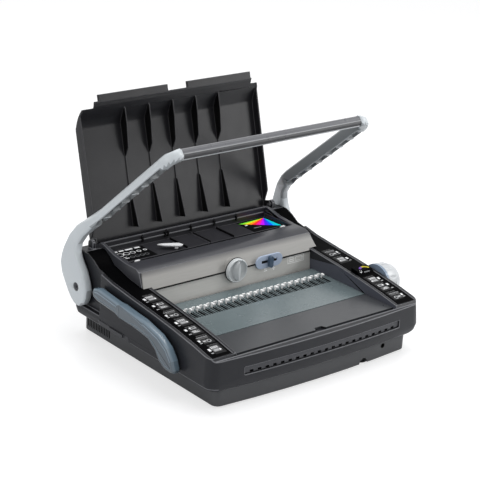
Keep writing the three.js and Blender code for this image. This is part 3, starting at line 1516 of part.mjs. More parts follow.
add('base_pan', basePan(), baseGrey);
[[footX, footFrontY], [-footX, footFrontY], [footX, footRearY], [-footX, footRearY]]
  .forEach(([x, y], i) => add(`foot_${i + 1}`, foot(x, y), rubber));
columnPlaces().forEach(([x, y], i) => add(`base_screw_${i + 1}`, baseScrew(x, y), steel));
add('main_casing', mainCasing(), charcoal);
add('deck_plate', deckPlate(), deckBlue);
add('front_flap', frontFlap(), flapGrey);
add('right_label_strip', labelStrip(0, 0), black);
add('left_label_strip', mirrored(labelStrip(0, 0)), black);
add('size_gauge', sizeGauge(), white);
add('lower_fascia', lowerFascia(), fasciaBeige);
add('upper_fascia', upperFascia(), fasciaBeige);
add('rear_housing', rearHousing(), darkGrey);
add('storage_tray', storageTray(), darkGrey);
add('tray_clip_left', trayClip(-1), white);
add('tray_clip_right', trayClip(1), white);
add('tray_finger', trayFinger(), white);
add('slot_strip', slotStrip(), black);

const openLid = add('lid', lid(), charcoal);
openLid.rotation.x = -lidOpenDegrees * Math.PI / 180;
openLid.position.set(0, lidHingeY, lidHingeZ);

add('right_arm', rightArm(), armGrey);
add('left_arm', mirrored(rightArm()), armGrey);
add('handle_grip', handleGrip(), charcoal);
add('grip_rod', gripRod(), steel);
add('handle_shaft', handleShaft(), steel);
add('right_pivot_screw', pivotScrew(), darkGrey);
add('left_pivot_screw', mirrored(pivotScrew()), darkGrey);

const handleCrankX = drawBarX + drawBarThickness / 2 + runGap;
const handleCrank = crank(shaftRadius, handleCrankReach, handleCrankX, drawBarX - drawBarThickness / 2,
  pivotY, pivotZ);
add('right_crank', handleCrank, steel);
add('left_crank', mirrored(handleCrank), steel);
add('punch_pin_bar', punchPinBar(), steel);
add('right_draw_bar', drawBar(), steel);
add('left_draw_bar', mirrored(drawBar()), steel);
add('punch_guide_plate', punchPlate(throatFrontY - plateThickness), steel);
add('punch_die_plate', punchPlate(throatRearY), steel);
add('paper_stop', paperStop(), steel);

add('comb_posts', combPosts(), white);
add('comb_rake', combRake(), white);
add('rake_link', rakeLink(), steel);
add('comb_lever_hub', leverHalf(leverSplitY + seatGap / 2, leverRearY + overrun), leverBlue);
add('comb_lever_handle', leverHalf(leverRearY - leverLength - overrun, leverSplitY - seatGap / 2), leverBlue);
add('lever_shaft', leverShaft(), steel);
const leverCrankX = -rakeLinkX + drawBarThickness / 2 + runGap;
add('lever_crank', crank(leverShaftRadius, leverCrankReach, leverCrankX, -rakeLinkX - drawBarThickness / 2,
  leverPivotY, leverPivotZ), steel);

add('closer_knob', closerKnob(), knobGrey);
add('closer_ring', closerRing(), paleBlue);
add('closer_shaft', closerShaft(), steel);
const closerCrank = crank(
  closerShaftRadius, closerCrankReach, closerCrankX, closerLinkX - drawBarThickness / 2, closerY, closerZ,
);
add('closer_crank', closerCrank, steel);
add('wire_closing_bar', closingBar(), steel);
add('closer_link', closerLink(), steel);
add('closer_bed', closerBed(), steel);

add('margin_knob', marginKnob(), knobGrey);
add('margin_spindle', marginSpindle(), steel);
add('selector_bezel', selectorBezel(), paleBlue);
add('selector_slider', selectorSlider(), deepBlue);
add('chip_drawer', chipDrawer(), baseGrey);

// The origin lies in the middle of the machine's outer box, on the table
machine.updateMatrixWorld(true);
const extent = new THREE.Box3().setFromObject(machine, true);
const middle = extent.getCenter(new THREE.Vector3());
machine.position.set(-middle.x, -middle.y, -extent.min.z);

const bindingMachine = new THREE.Group();
bindingMachine.add(machine);

export default bindingMachine;
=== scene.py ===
import bpy
import bmesh
import math
from mathutils import Matrix, Vector
from mathutils.bvhtree import BVHTree


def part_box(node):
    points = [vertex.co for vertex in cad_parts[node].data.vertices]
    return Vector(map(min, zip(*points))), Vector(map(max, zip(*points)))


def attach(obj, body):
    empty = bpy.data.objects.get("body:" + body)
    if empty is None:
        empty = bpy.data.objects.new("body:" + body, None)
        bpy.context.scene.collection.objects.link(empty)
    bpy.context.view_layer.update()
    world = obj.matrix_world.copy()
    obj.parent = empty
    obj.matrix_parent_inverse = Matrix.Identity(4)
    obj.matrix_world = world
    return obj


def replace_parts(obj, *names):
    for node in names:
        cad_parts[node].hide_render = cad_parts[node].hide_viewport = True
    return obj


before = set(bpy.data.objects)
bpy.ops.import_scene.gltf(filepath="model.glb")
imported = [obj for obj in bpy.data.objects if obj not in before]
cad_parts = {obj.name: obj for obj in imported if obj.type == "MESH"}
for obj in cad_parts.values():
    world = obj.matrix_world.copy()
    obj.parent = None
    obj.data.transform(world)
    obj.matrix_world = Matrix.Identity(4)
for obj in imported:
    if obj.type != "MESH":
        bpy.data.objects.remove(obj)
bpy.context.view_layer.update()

# Table
# A glossy white table top that runs out of view. To the camera it glows a little, so that it
# looks as white as the room behind it and still takes the machine's shadow.


def srgb(red, green, blue):
    """A colour as seen on screen, 0 to 255, as the linear numbers that a shader takes."""
    def linear(v):
        v /= 255
        return v / 12.92 if v <= 0.04045 else ((v + 0.055) / 1.055) ** 2.4
    return (linear(red), linear(green), linear(blue), 1)


class Wire:
    """An output in a finish's tree. Sums and products of wires add Math nodes."""

    def __init__(self, finish, socket):
        self.finish, self.socket = finish, socket

    def maths(self, operation, *values):
        return self.finish.node("ShaderNodeMath", {"operation": operation}, *values)

    def __add__(self, other):
        return self.maths("ADD", self, other)

    def __sub__(self, other):
        return self.maths("SUBTRACT", self, other)

    def __rsub__(self, other):
        return self.maths("SUBTRACT", other, self)

    def __mul__(self, other):
        return self.maths("MULTIPLY", self, other)

    __radd__, __rmul__ = __add__, __mul__


class Finish:
    """A material that is built node by node and ends in one Principled shader."""

    def __init__(self, name):
        self.material = bpy.data.materials.new(name)
        self.material.use_nodes = True
        self.tree = self.material.node_tree
        self.shader = self.tree.nodes["Principled BSDF"]

    def node(self, kind, settings, *values, out=0, **named):
        """Adds a node. Values go to its sockets in order, or by name, and None leaves one alone."""
        made = self.tree.nodes.new(kind)
        for key, value in settings.items():
            if key == "stops":
                ramp = made.color_ramp.elements
                while len(ramp) < len(value):
                    ramp.new(0.5)
                for stop, (place, colour) in zip(ramp, value):
                    stop.position, stop.color = place, colour
            else:
                setattr(made, key, value)
        for key, value in [*enumerate(values), *named.items()]:
            socket = made.inputs[key if isinstance(key, int) else key.replace("_", " ")]
            if isinstance(value, Wire):
                self.tree.links.new(value.socket, socket)
            elif value is not None:
                socket.default_value = value
        return Wire(self, made.outputs[out])

    def blend(self, share, first, second):
        """The first colour where share is 0 and the second where it is 1."""
        to_colours = [None] * 5
        return self.node(
            "ShaderNodeMix", {"data_type": "RGBA"}, share, *to_colours, first, second, out=2)

    def place(self):
        return self.node("ShaderNodeTexCoord", {}, out=3)

    def noise(self, scale, detail=2.0, place=None):
        place = place or self.place()
        return self.node("ShaderNodeTexNoise", {}, Vector=place, Scale=scale, Detail=detail)

    def height(self):
        """The height above the table in millimetres."""
        return self.node("ShaderNodeSeparateXYZ", {}, self.place(), out=2) * 1000

    def step(self, value, low, high):
        """Rises softly from 0 to 1 as the value goes from low to high."""
        smooth = {"interpolation_type": "SMOOTHSTEP"}
        return self.node("ShaderNodeMapRange", smooth, value, low, high, 0.0, 1.0)

    def painted(self, attribute, out=2):
        """What is marked on each face: its share, or with out=0 its colour."""
        return self.node("ShaderNodeAttribute", {"attribute_name": attribute}, out=out)

    def plain(self, **values):
        for key, value in values.items():
            self.shader.inputs[key.replace("_", " ")].default_value = value

    def feed(self, key, wire):
        self.tree.links.new(wire.socket, self.shader.inputs[key])

    def relief(self, height, strength, distance=0.0001):
        """Raises the surface by a pattern, without changing its outline."""
        raised = self.node(
            "ShaderNodeBump", {}, Strength=strength, Distance=distance, Height=height)
        self.feed("Normal", raised)


def in_scene(name, data):
    """A new object in the scene, from a mesh, a lamp or a camera."""
    thing = bpy.data.objects.new(name, data)
    bpy.context.scene.collection.objects.link(thing)
    return thing


table_reach, glow_strength, glow_share = 4, 1.3, 0.5
table = Finish("white_table")
table.plain(Base_Color=srgb(243, 244, 246), Roughness=0.32, Specular_IOR_Level=0.35)
to_camera = table.node("ShaderNodeLightPath", {})
glow = table.node("ShaderNodeEmission", {}, Color=(1, 1, 1, 1), Strength=glow_strength)
gloss_paint = Wire(table, table.shader.outputs[0])
table_look = table.node("ShaderNodeMixShader", {}, to_camera * glow_share, gloss_paint, glow)
table_end = table.tree.nodes["Material Output"]
table.tree.links.new(table_look.socket, table_end.inputs["Surface"])
table_mesh = bpy.data.meshes.new("table_top")
table_mesh.from_pydata([
    (-table_reach, -table_reach, 0), (table_reach, -table_reach, 0),
    (table_reach, table_reach, 0), (-table_reach, table_reach, 0),
], [], [(0, 1, 2, 3)])
table_mesh.materials.append(table.material)
table_top = in_scene("table_top", table_mesh)

# Room
# A plain white room. The camera and glossy surfaces see it at full strength, and it lights the
# machine softly with half of that.
wall_light = 0.5
room = bpy.data.worlds.new("white_room")
room.use_nodes = True
bpy.context.scene.world = room
links, nodes = room.node_tree.links, room.node_tree.nodes
path = nodes.new("ShaderNodeLightPath")
seen = path.outputs["Is Camera Ray"]
for kind in ("Is Glossy Ray", "Is Transmission Ray"):
    either = nodes.new("ShaderNodeMath")
    either.operation = "MAXIMUM"
    links.new(seen, either.inputs[0])
    links.new(path.outputs[kind], either.inputs[1])
    seen = either.outputs[0]
strength = nodes.new("ShaderNodeMath")
strength.operation = "MULTIPLY_ADD"
strength.inputs[1].default_value = 1 - wall_light
strength.inputs[2].default_value = wall_light
links.new(seen, strength.inputs[0])
nodes["Background"].inputs["Color"].default_value = (1, 1, 1, 1)
links.new(strength.outputs[0], nodes["Background"].inputs["Strength"])

# Studio lamps
# Broad soft lamps in metres and watts: one overhead, one to the right, a weak one to the left and
# one low in front. Each is turned towards the machine.
for name, place, aim, width, power in (
    ("overhead_lamp", (0.3, 0.2, 2.2), (0, 0, 0.1), 1.4, 28),
    ("right_lamp", (1.9, -0.9, 1.3), (0, 0, 0.1), 0.7, 12),
    ("left_lamp", (-2.2, -0.4, 1.2), (0, 0, 0.1), 1.0, 9.5),
    ("front_lamp", (1.9, -1.9, 0.6), (0.1, 0, 0.2), 1.0, 11),
):
    light = bpy.data.lights.new(name, "AREA")
    light.shape, light.size, light.energy = "SQUARE", width, power
    lamp = in_scene(name, light)
    lamp.location = place
    lamp.rotation_euler = (Vector(aim) - Vector(place)).to_track_quat("-Z", "Y").to_euler()

# Camera
# A long lens, a little above the machine and to the left of its front. Places in this script are
# in millimetres from the machine's middle line, the depth of its paper throat and the table, and
# at() turns them into metres in the frame.
mm = 0.001
throat_to_deck_rear = 15
deck_low, deck_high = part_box("deck_plate")
middle_x = (deck_low.x + deck_high.x) / 2
throat_y = deck_high.y - throat_to_deck_rear * mm


def at(x, y, z):
    return Vector((middle_x + x * mm, throat_y + y * mm, z * mm))


camera_turn, camera_rise, camera_roll = -40.4, 20.6, 3.3
camera_distance, camera_lens, sensor_width = 2463.6, 117.4, 36
camera_target = at(0.4, 13.6, 161.8)
turn, rise = math.radians(camera_turn), math.radians(camera_rise)
level = math.cos(rise)
back = Vector((math.sin(turn) * level, -math.cos(turn) * level, math.sin(rise)))
camera = bpy.data.cameras.new("camera")
camera.lens, camera.sensor_width = camera_lens, sensor_width
camera.clip_start, camera.clip_end = 0.1, 20
viewer = in_scene("camera", camera)
viewer.location = camera_target + back * camera_distance * mm
viewer.rotation_mode = "QUATERNION"
facing = (-back).to_track_quat("-Z", "Y")
roll = Matrix.Rotation(math.radians(camera_roll), 3, "Z").to_quaternion()
viewer.rotation_quaternion = facing @ roll
bpy.context.scene.camera = viewer
bpy.context.scene.view_settings.view_transform = "Standard"

# Base pan and its rubber feet
# The underside is one pan moulded in dark grey plastic, with cooling slots in its sides. Four
# soft rubber feet are pressed into its corners.


def merged(node):
    """A copy of a node's mesh with its corners joined."""
    form = bmesh.new()
    form.from_mesh(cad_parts[node].data)
    bmesh.ops.remove_doubles(form, verts=form.verts, dist=0.01 * mm)
    bmesh.ops.dissolve_degenerate(form, dist=0.02 * mm, edges=form.edges)
    return form


def as_mesh(name, form):
    mesh = bpy.data.meshes.new(name)
    form.to_mesh(mesh)
    form.free()
    return mesh


def as_shown(thing):
    """The mesh of an object with its modifiers applied."""
    now = bpy.context.evaluated_depsgraph_get()
    return bpy.data.meshes.new_from_object(thing.evaluated_get(now))


def finished(name, form, finish, body, smooth=34):
    """Turns a built form into a shaded piece that rides on a body."""
    mesh = as_mesh(name, form)
    mesh.materials.append(finish.material)
    mesh.set_sharp_from_angle(angle=math.radians(smooth))
    mesh.polygons.foreach_set("use_smooth", [True] * len(mesh.polygons))
    piece = in_scene(name, mesh)
    even = piece.modifiers.new("even", "WEIGHTED_NORMAL")
    even.keep_sharp = True
    even.weight = 80
    shaped = as_shown(piece)
    piece.modifiers.clear()
    piece.data = shaped
    shaped.name = name
    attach(piece, body)
    return piece


def eased(form, width, steps, angle=28):
    """Rounds the edges of a form by a width in millimetres, and marks the rounded faces, which show
    wear and a painted highlight along the edge. Edges shorter than most of that width are left."""
    rubbed = form.faces.layers.float.new("rubbed")
    edges = [
        e for e in form.edges
        if len(e.link_faces) == 2 and e.calc_face_angle(0) > math.radians(angle)
        and e.calc_length() > width * mm * 0.8
    ]
    made = bmesh.ops.bevel(
        form, geom=edges, offset=width * mm, offset_type="OFFSET", segments=steps, profile=0.5,
        affect="EDGES", clamp_overlap=False, miter_outer="ARC",
    )
    for face in made["faces"]:
        face[rubbed] = 1.0


def shaded(form, rule):
    """Marks faces with painted shade, where they lie in a slot or beside a rib and hardly any light
    falls, by a share from 0 to 1, and faces with painted light, which look lighter, by one from 0
    to -1."""
    deep, lit = (form.faces.layers.float.new(name) for name in ("deep", "lit"))
    tree = BVHTree.FromBMesh(form)
    form.normal_update()
    for face in form.faces:
        share = rule(face, tree)
        face[deep], face[lit] = max(0, share), max(0, -share)


def dressed(node, finish, body, width, steps=2, smooth=34, rule=None):
    """A node's own shape with its sharp edges rounded, in place of the node."""
    form = merged(node)
    if rule:
        shaded(form, rule)
    if width:
        eased(form, width, steps)
    piece = finished("fine_" + node, form, finish, body, smooth)
    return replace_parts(piece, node)


def shifted(colour, change):
    """A colour made lighter, or darker below 0, by as much in each of its three numbers."""
    return srgb(*[c + change for c in colour])


def moulded(name, colour, roughness, wear_and_highlight=12, grain=0.25, mottle=4, coat=0.0, gloss=0.3):
    """Injection-moulded plastic: fine spark-eroded grain, faint clouds of tone, and brighter edges
    that show wear and a painted highlight. Faces marked with painted shade are nearly black, and
    those marked with painted light are over twice as light."""
    painted_shade_tone = srgb(*[c * 0.2 for c in colour])
    painted_light_tone = srgb(*[min(255, c * 2.3) for c in colour])
    rub_and_highlight_share, cloud_scale, gloss_scale, grain_scale = 0.8, 22, 60, 2600
    spread = 0.1
    finish = Finish(name)
    cloud = finish.noise(cloud_scale, 3)
    tone = finish.blend(cloud, shifted(colour, -mottle), shifted(colour, mottle))
    # Edges show wear and a painted highlight.
    tone = finish.blend(finish.painted("rubbed") * rub_and_highlight_share, tone, shifted(colour, wear_and_highlight))
    tone = finish.blend(finish.painted("deep"), tone, painted_shade_tone)
    tone = finish.blend(finish.painted("lit"), tone, painted_light_tone)
    finish.feed("Base Color", tone)
    uneven = finish.noise(gloss_scale) * spread
    finish.feed("Roughness", uneven + (roughness - spread / 2))
    finish.plain(Coat_Weight=coat, Coat_Roughness=0.12, Specular_IOR_Level=gloss)
    finish.relief(finish.noise(grain_scale), grain)
    return finish


def shade_in_a_slot(face, tree):
    """Painted shade, full dark, where a face looks at another one close by."""
    lift, slot_reach = 0.1 * mm, 12 * mm
    out = face.calc_center_median() + face.normal * lift
    return 0.0 if tree.ray_cast(out, face.normal, slot_reach)[0] is None else 1.0


pan_plastic = moulded("pan_plastic", (74, 75, 77), 0.5)
foot_rubber = moulded("foot_rubber", (26, 26, 27), 0.8, wear_and_highlight=6)
# Painted shade in the pan's cooling slots.
dressed("base_pan", pan_plastic, "casing", 0.8, rule=shade_in_a_slot)
for number in range(1, 5):
    dressed(f"foot_{number}", foot_rubber, "casing", 0.5)

# Base screws
# Four countersunk screws of zinc-plated steel. They go up through the pan into columns moulded
# inside the casing, and hold the two together.


def drawn_steel(name, colour, roughness, lay=(1, 1, 1)):
    """Plated or drawn steel with fine lines along its length."""
    line_scale, line_dark, line_light, spread = 900, -14, 10, 0.16
    finish = Finish(name)
    stretched = finish.node("ShaderNodeMapping", {}, Vector=finish.place(), Scale=lay)
    lines = finish.noise(line_scale, 2, stretched)
    dark, light = shifted(colour, line_dark), shifted(colour, line_light)
    finish.feed("Base Color", finish.blend(lines, dark, light))
    finish.feed("Roughness", lines * spread + (roughness - spread / 2))
    finish.plain(Metallic=1.0)
    return finish


zinc = drawn_steel("zinc", (176, 178, 182), 0.36)
for number in range(1, 5):
    dressed(f"base_screw_{number}", zinc, "casing", 0.2)

# Main casing
# One deep charcoal moulding with a bowed front, side panels that climb to the back, and a well
# for the deck. It sits over the rim of the base pan.
well_half_width, well_rear = 165, 20


def lit_well_walls(face, tree):
    """Painted light on the upright walls beside the deck, which look lighter than the outside."""
    spot = face.calc_center_median()
    upright = abs(face.normal.x) > 0.7
    inside = abs(spot.x - middle_x) < well_half_width * mm
    beside = spot.y < throat_y + well_rear * mm and spot.z > deck_low.z
    return -1.0 if upright and inside and beside else 0.0


casing_plastic = moulded("casing_plastic", (35, 36, 40), 0.32, wear_and_highlight=80, gloss=0.22)
# Painted light on the walls of the well.
dressed("main_casing", casing_plastic, "casing", 1.1, 3, rule=lit_well_walls)

# Slot strip in the front
# A satin grey strip of moulded plastic, pressed into the casing's front. It has a row of short
# slots, one for the tip of each closed wire loop.
strip_plastic = moulded("strip_plastic", (64, 65, 69), 0.34, wear_and_highlight=16)
# Painted shade in the strip's slots.
dressed("slot_strip", strip_plastic, "casing", 0, rule=shade_in_a_slot)

# Deck and flap
# The deck is a satin blue grey plate in the bottom of the well, with slits for the comb's hooks
# and posts. In front of it a grey flap on two pins covers the wire tray.


def shade_beside_a_plate(face, tree):
    """Painted shade on the thin edges of a plate, which face a gap, apart from the front one."""
    return 1.0 if abs(face.normal.z) < 0.5 and face.normal.y > -0.5 else 0.0


deck_plastic = moulded("deck_plastic", (104, 116, 119), 0.26, wear_and_highlight=22, mottle=3, gloss=0.5)
# Painted shade on the edges of the deck plate and the flap.
dressed("deck_plate", deck_plastic, "casing", 0, rule=shade_beside_a_plate)
flap_plastic = moulded("flap_plastic", (65, 67, 70), 0.3, wear_and_highlight=24, mottle=3, gloss=0.35)
dressed("front_flap", flap_plastic, "front_flap", 0, rule=shade_beside_a_plate)

# Fascias
# Two moulded plates across the back of the well, painted warm grey and brushed level. The lower
# one stands upright behind the deck, and the upper one rolls back under the housing.
shade_low, shade_high, shade_tone = 124, 133, srgb(70, 70, 74)


def brushed(name, colour, top_shade):
    """Warm grey paint with fine level brush lines, and painted shade where it rolls under the
    housing.
    """
    line_scale, line_dark, line_light, along = 1500, -9, 7, (0.02, 1, 1)
    finish = Finish(name)
    level = finish.node("ShaderNodeMapping", {}, Vector=finish.place(), Scale=along)
    lines = finish.noise(line_scale, 3, level)
    tone = finish.blend(lines, shifted(colour, line_dark), shifted(colour, line_light))
    # Painted shade at the top, where the plate rolls under the housing.
    under = finish.step(finish.height(), shade_low, shade_high) * top_shade
    finish.feed("Base Color", finish.blend(under, tone, shade_tone))
    finish.feed("Roughness", lines * 0.12 + 0.3)
    finish.plain(Specular_IOR_Level=0.4)
    finish.relief(lines, 0.1)
    return finish


upper_paint = brushed("upper_paint", (150, 149, 146), 0.7)
# The lower plate takes a lighter copy of the same paint, as painted light, so that it looks as
# light as the upper one.
lit_lower_paint = brushed("lit_lower_paint", (202, 201, 197), 0)
dressed("lower_fascia", lit_lower_paint, "casing", 0)
dressed("upper_fascia", upper_paint, "casing", 0.3)

# Prints on the lower fascia
# White screen prints on the paint: a plain outlined table beside the well's wall, and two marks
# under the slider. Ink is a thin closed plate a little above the surface that it lies on.
print_top, print_layer, print_back = 0.06, 0.05, 0.01


def inked(name, grain_scale, roughness, gloss):
    """Printing ink, with the colour of each mark."""
    finish = Finish(name)
    finish.feed("Base Color", finish.painted("ink", 0))
    finish.feed("Roughness", finish.noise(grain_scale) * 0.1 + roughness)
    finish.plain(Specular_IOR_Level=gloss)
    return finish


def printed(name, node, marks, finish, body, aim=(0, 0, -1)):
    """Prints marks on a node along the aim. A mark is its layer, its outline and its ink, and is
    made only where all of its outline meets the surface."""
    start_off, most_slanted = 0.4, -0.2
    carrier = merged(node)
    tree = BVHTree.FromBMesh(carrier)
    carrier.free()
    aim = Vector(aim)
    form = bmesh.new()
    ink = form.loops.layers.float_color.new("ink")
    for layer, outline, colour in marks:
        hits = [tree.ray_cast(at(*point) - aim * start_off, aim)[:2] for point in outline]
        if any(hit is None or normal.dot(aim) > most_slanted for hit, normal in hits):
            continue
        face_lift = (print_top + print_layer * layer) * mm
        front = [form.verts.new(hit + normal * face_lift) for hit, normal in hits]
        back = [form.verts.new(hit + normal * print_back * mm) for hit, normal in hits]
        plate = [form.faces.new(front), form.faces.new(back)]
        for i in range(len(front)):
            plate.append(form.faces.new((front[i - 1], front[i], back[i], back[i - 1])))
        for face in plate:
            for loop in face.loops:
                loop[ink] = colour
    bmesh.ops.recalc_face_normals(form, faces=form.faces)
    return finished(name, form, finish, body)


def upright_block(x0, x1, z0, z1):
    return [(x0, 0, z0), (x1, 0, z0), (x1, 0, z1), (x0, 0, z1)]


def frame_of(x0, x1, z0, z1, line):
    """The four sides of an upright frame with lines of one width."""
    return [
        upright_block(x0, x1, z0, z0 + line),
        upright_block(x0, x1, z1 - line, z1),
        upright_block(x0, x0 + line, z0 + line, z1 - line),
        upright_block(x1 - line, x1, z0 + line, z1 - line),
    ]


screen_ink = inked("screen_ink", 300, 0.35, 0.2)
pale_ink, white_ink = srgb(251, 251, 250), srgb(254, 254, 253)
table_print = frame_of(112, 147, 95, 107, 0.9)
table_print += [upright_block(115, 126, z, z + 1.4) for z in (97.4, 100.6, 103.8)]
table_print += frame_of(129, 144, 97.5, 104.5, 0.8)
slider_print = [
    upright_block(x, x + 6, z, z + 1.6) for x, z in ((62, 92.5), (62, 95.5), (79, 94))]
slider_print.append(upright_block(81, 83, 91.6, 97.8))
fascia_marks = [(0, outline, pale_ink) for outline in table_print]
fascia_marks += [(0, outline, white_ink) for outline in slider_print]
printed("fascia_print", "lower_fascia", fascia_marks, screen_ink, "casing",
        (0, 1, 0))

# Parting line
# The narrow gap where the two fascias meet. A strip of black plastic behind it is painted shade
# for the gap.


def skinned(rings):
    """A closed form over rings of equally many places, from the first ring to the last."""
    form = bmesh.new()
    made = [[form.verts.new(place) for place in places] for places in rings]
    for first, second in zip(made, made[1:]):
        for i in range(len(first)):
            form.faces.new((first[i - 1], first[i], second[i], second[i - 1]))
    form.faces.new(made[0])
    form.faces.new(made[-1])
    bmesh.ops.recalc_face_normals(form, faces=form.faces)
    return form


def drawn_bar(name, section, x0, x1, finish, body, width):
    """A bar of one section along x, given as places in y and z, with eased edges."""
    form = skinned([[at(x, y, z) for y, z in section] for x in (x0, x1)])
    if width:
        eased(form, width, 2)
    return finished(name, form, finish, body)


inner_half_width = 160
black_plastic = moulded("black_plastic", (14, 14, 15), 0.5, wear_and_highlight=6, gloss=0.06)
# A black strip: painted shade in the gap.
gap_shade_section = [(19.3, 108.5), (23, 108.5), (23, 109.5), (19.3, 109.5)]
drawn_bar("parting_strip", gap_shade_section, -inner_half_width, inner_half_width, black_plastic,
          "casing", 0)

# Rear housing and storage tray
# The top housing is a satin dark grey moulding. A shallow tray is let into it from above, with
# two white clips on its front wall for cards and a small white finger piece to lift combs.
housing_plastic = moulded("housing_plastic", (54, 55, 60), 0.3, wear_and_highlight=44, gloss=0.45)
dressed("rear_housing", housing_plastic, "casing", 0.8, 3)
tray_plastic = moulded("tray_plastic", (36, 36, 40), 0.4, wear_and_highlight=40)
dressed("storage_tray", tray_plastic, "casing", 0.5)
white_plastic = moulded(
    "white_plastic", (238, 239, 241), 0.3, wear_and_highlight=8, grain=0.1, mottle=2, coat=0.3)
clip_section = [(78.6, 121.5), (83.4, 121.5), (83.4, 134.5), (82, 136), (78.6, 136)]
for node, clip_x in (("tray_clip_left", -149), ("tray_clip_right", 149)):
    clip = drawn_bar("fine_" + node, clip_section, clip_x - 4, clip_x + 4, white_plastic,
                     "casing", 0.5)
    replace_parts(clip, node)
dressed("tray_finger", white_plastic, "casing", 0.4)

# Tray ledge, catches and dividers
# A grey ledge runs along the tray's rear wall, with black catches clipped over it. Low black
# walls stand between the compartments, and a black lip closes the gap behind the housing.
ledge_plastic = moulded("ledge_plastic", (92, 93, 96), 0.35, wear_and_highlight=30)
ledge_section = [(143.6, 137.6), (145.4, 137.6), (145.4, 139.6), (143.6, 139.2)]
drawn_bar("tray_ledge", ledge_section, -inner_half_width, inner_half_width, ledge_plastic,
          "casing", 0.3)
catch_section = [(141.8, 135), (145.2, 135), (145.2, 143.7), (142.4, 143.7)]
for number, x in enumerate((-93.8, -48.5, -43, 4, 52.9, 99.8), 1):
    drawn_bar(f"tray_catch_{number}", catch_section, x - 1.6, x + 1.6, black_plastic,
              "casing", 0.3)
divider_section = [(95, 129.4), (141.8, 129.4), (141.8, 132.6), (95, 132.6)]
for number, x in enumerate((-40, 7, 56), 1):
    drawn_bar(f"tray_divider_{number}", divider_section, x - 0.8, x + 0.8, black_plastic,
              "casing", 0.2)
seal_section = [(162.9, 139.6), (166, 139.6), (166, 140.55), (163.8, 141.2), (162.9, 141.2)]
drawn_bar("rear_seal", seal_section, -168, 176, black_plastic, "casing", 0)

# Cards in the tray
# A black card of comb sizes with white rings, and a colour chart whose hues fan out from one
# corner. Both are plain card with a printed face, tucked under the tray's clips.


def block(x0, x1, y0, y1):
    return [(x0, y0, 0), (x1, y0, 0), (x1, y1, 0), (x0, y1, 0)]


def around(x, y, radius, angle):
    return (x + radius * math.cos(angle), y + radius * math.sin(angle), 0)


def disc(x, y, radius, sides=14):
    return [around(x, y, radius, k * math.tau / sides) for k in range(sides)]


def ring(x, y, radius, line, sides=14):
    outer, inner = disc(x, y, radius, sides), disc(x, y, radius - line, sides)
    return [[outer[k - 1], outer[k], inner[k], inner[k - 1]] for k in range(sides)]


card_ink = inked("card_ink", 500, 0.4, 0.02)
card_black, card_white = srgb(12, 12, 13), srgb(232, 233, 235)
card_grey = srgb(120, 121, 123)
# The first mark is a black band along the tray's front: painted shade for its dark channel.
size_card = [(0, block(-160, 160, 84.5, 89.5), card_black)]
size_card.append((0, block(-160, -97, 97, 142), card_black))
for x, width in ((-159, 13), (-143, 9), (-131, 14), (-113, 10)):
    size_card.append((1, block(x, x + width, 136.5, 141), card_white))
for k in range(5):
    comb = ring(-150 + 12 * k, 125, 6.4 - 0.8 * k, 1.2)
    size_card += [(1, outline, card_white) for outline in comb]
for k in range(4):
    comb = ring(-138 + 9.5 * k, 109, 3.8, 0.9)
    size_card += [(1, outline, card_grey) for outline in comb]
size_card.append((1, block(-152, -144, 107, 109), card_white))
size_card.append((1, block(-152, -146, 112, 113.2), card_white))
printed("size_card", "storage_tray", size_card, card_ink, "casing")
fan_corner, fan_start, fan_end = (158, 141, 0), (101, 138), (161, 95.8)
fan_hues = (
    (120, 230, 60), (230, 235, 40), (255, 150, 30), (255, 50, 60), (255, 30, 170),
    (200, 30, 255), (90, 40, 255), (20, 90, 255), (20, 190, 255), (20, 235, 230),
)
colour_chart = [(0, block(100, 162, 95.2, 144), card_black)]
for k, hue in enumerate(fan_hues):
    edge = []
    for share in (k / len(fan_hues), (k + 1) / len(fan_hues)):
        edge.append((fan_start[0] + (fan_end[0] - fan_start[0]) * share,
                     fan_start[1] + (fan_end[1] - fan_start[1]) * share, 0))
    colour_chart.append((1, [fan_corner, *edge], srgb(*hue)))
colour_chart.append((1, block(106, 111, 125, 128), card_white))
colour_chart.append((1, block(112, 128, 109, 111.5), card_grey))
printed("colour_chart", "storage_tray", colour_chart, card_ink, "casing")

# Lid
# A hinged cover moulded in the casing's charcoal, ribbed on its inside, with two finger ledges
# along its free edge. Two ears on its rear edge turn on the casing's pins.
rib_half_width = 168


def shade_on_a_rib(face, tree):
    """Painted shade on the sides of the ribs, which face each other."""
    off_middle = abs(face.calc_center_median().x - middle_x)
    return 1.0 if abs(face.normal.x) > 0.6 and off_middle < rib_half_width * mm else 0.0


lid_plastic = moulded("lid_plastic", (26, 26, 29), 0.32, wear_and_highlight=46, gloss=0.3)
# Painted shade on the sides of the lid's ribs.
dressed("lid", lid_plastic, "lid", 0.6, rule=shade_on_a_rib)

# Handle arms
# Two light grey moulded arms, each bent at its elbow. Below they are open, with small cells
# between their webs.
elbow_height, elbow_fade = 165, 30
cell_shade, underside_shade, face_shade, face_shade_rise = 0.66, 0.42, 0.1, 0.55


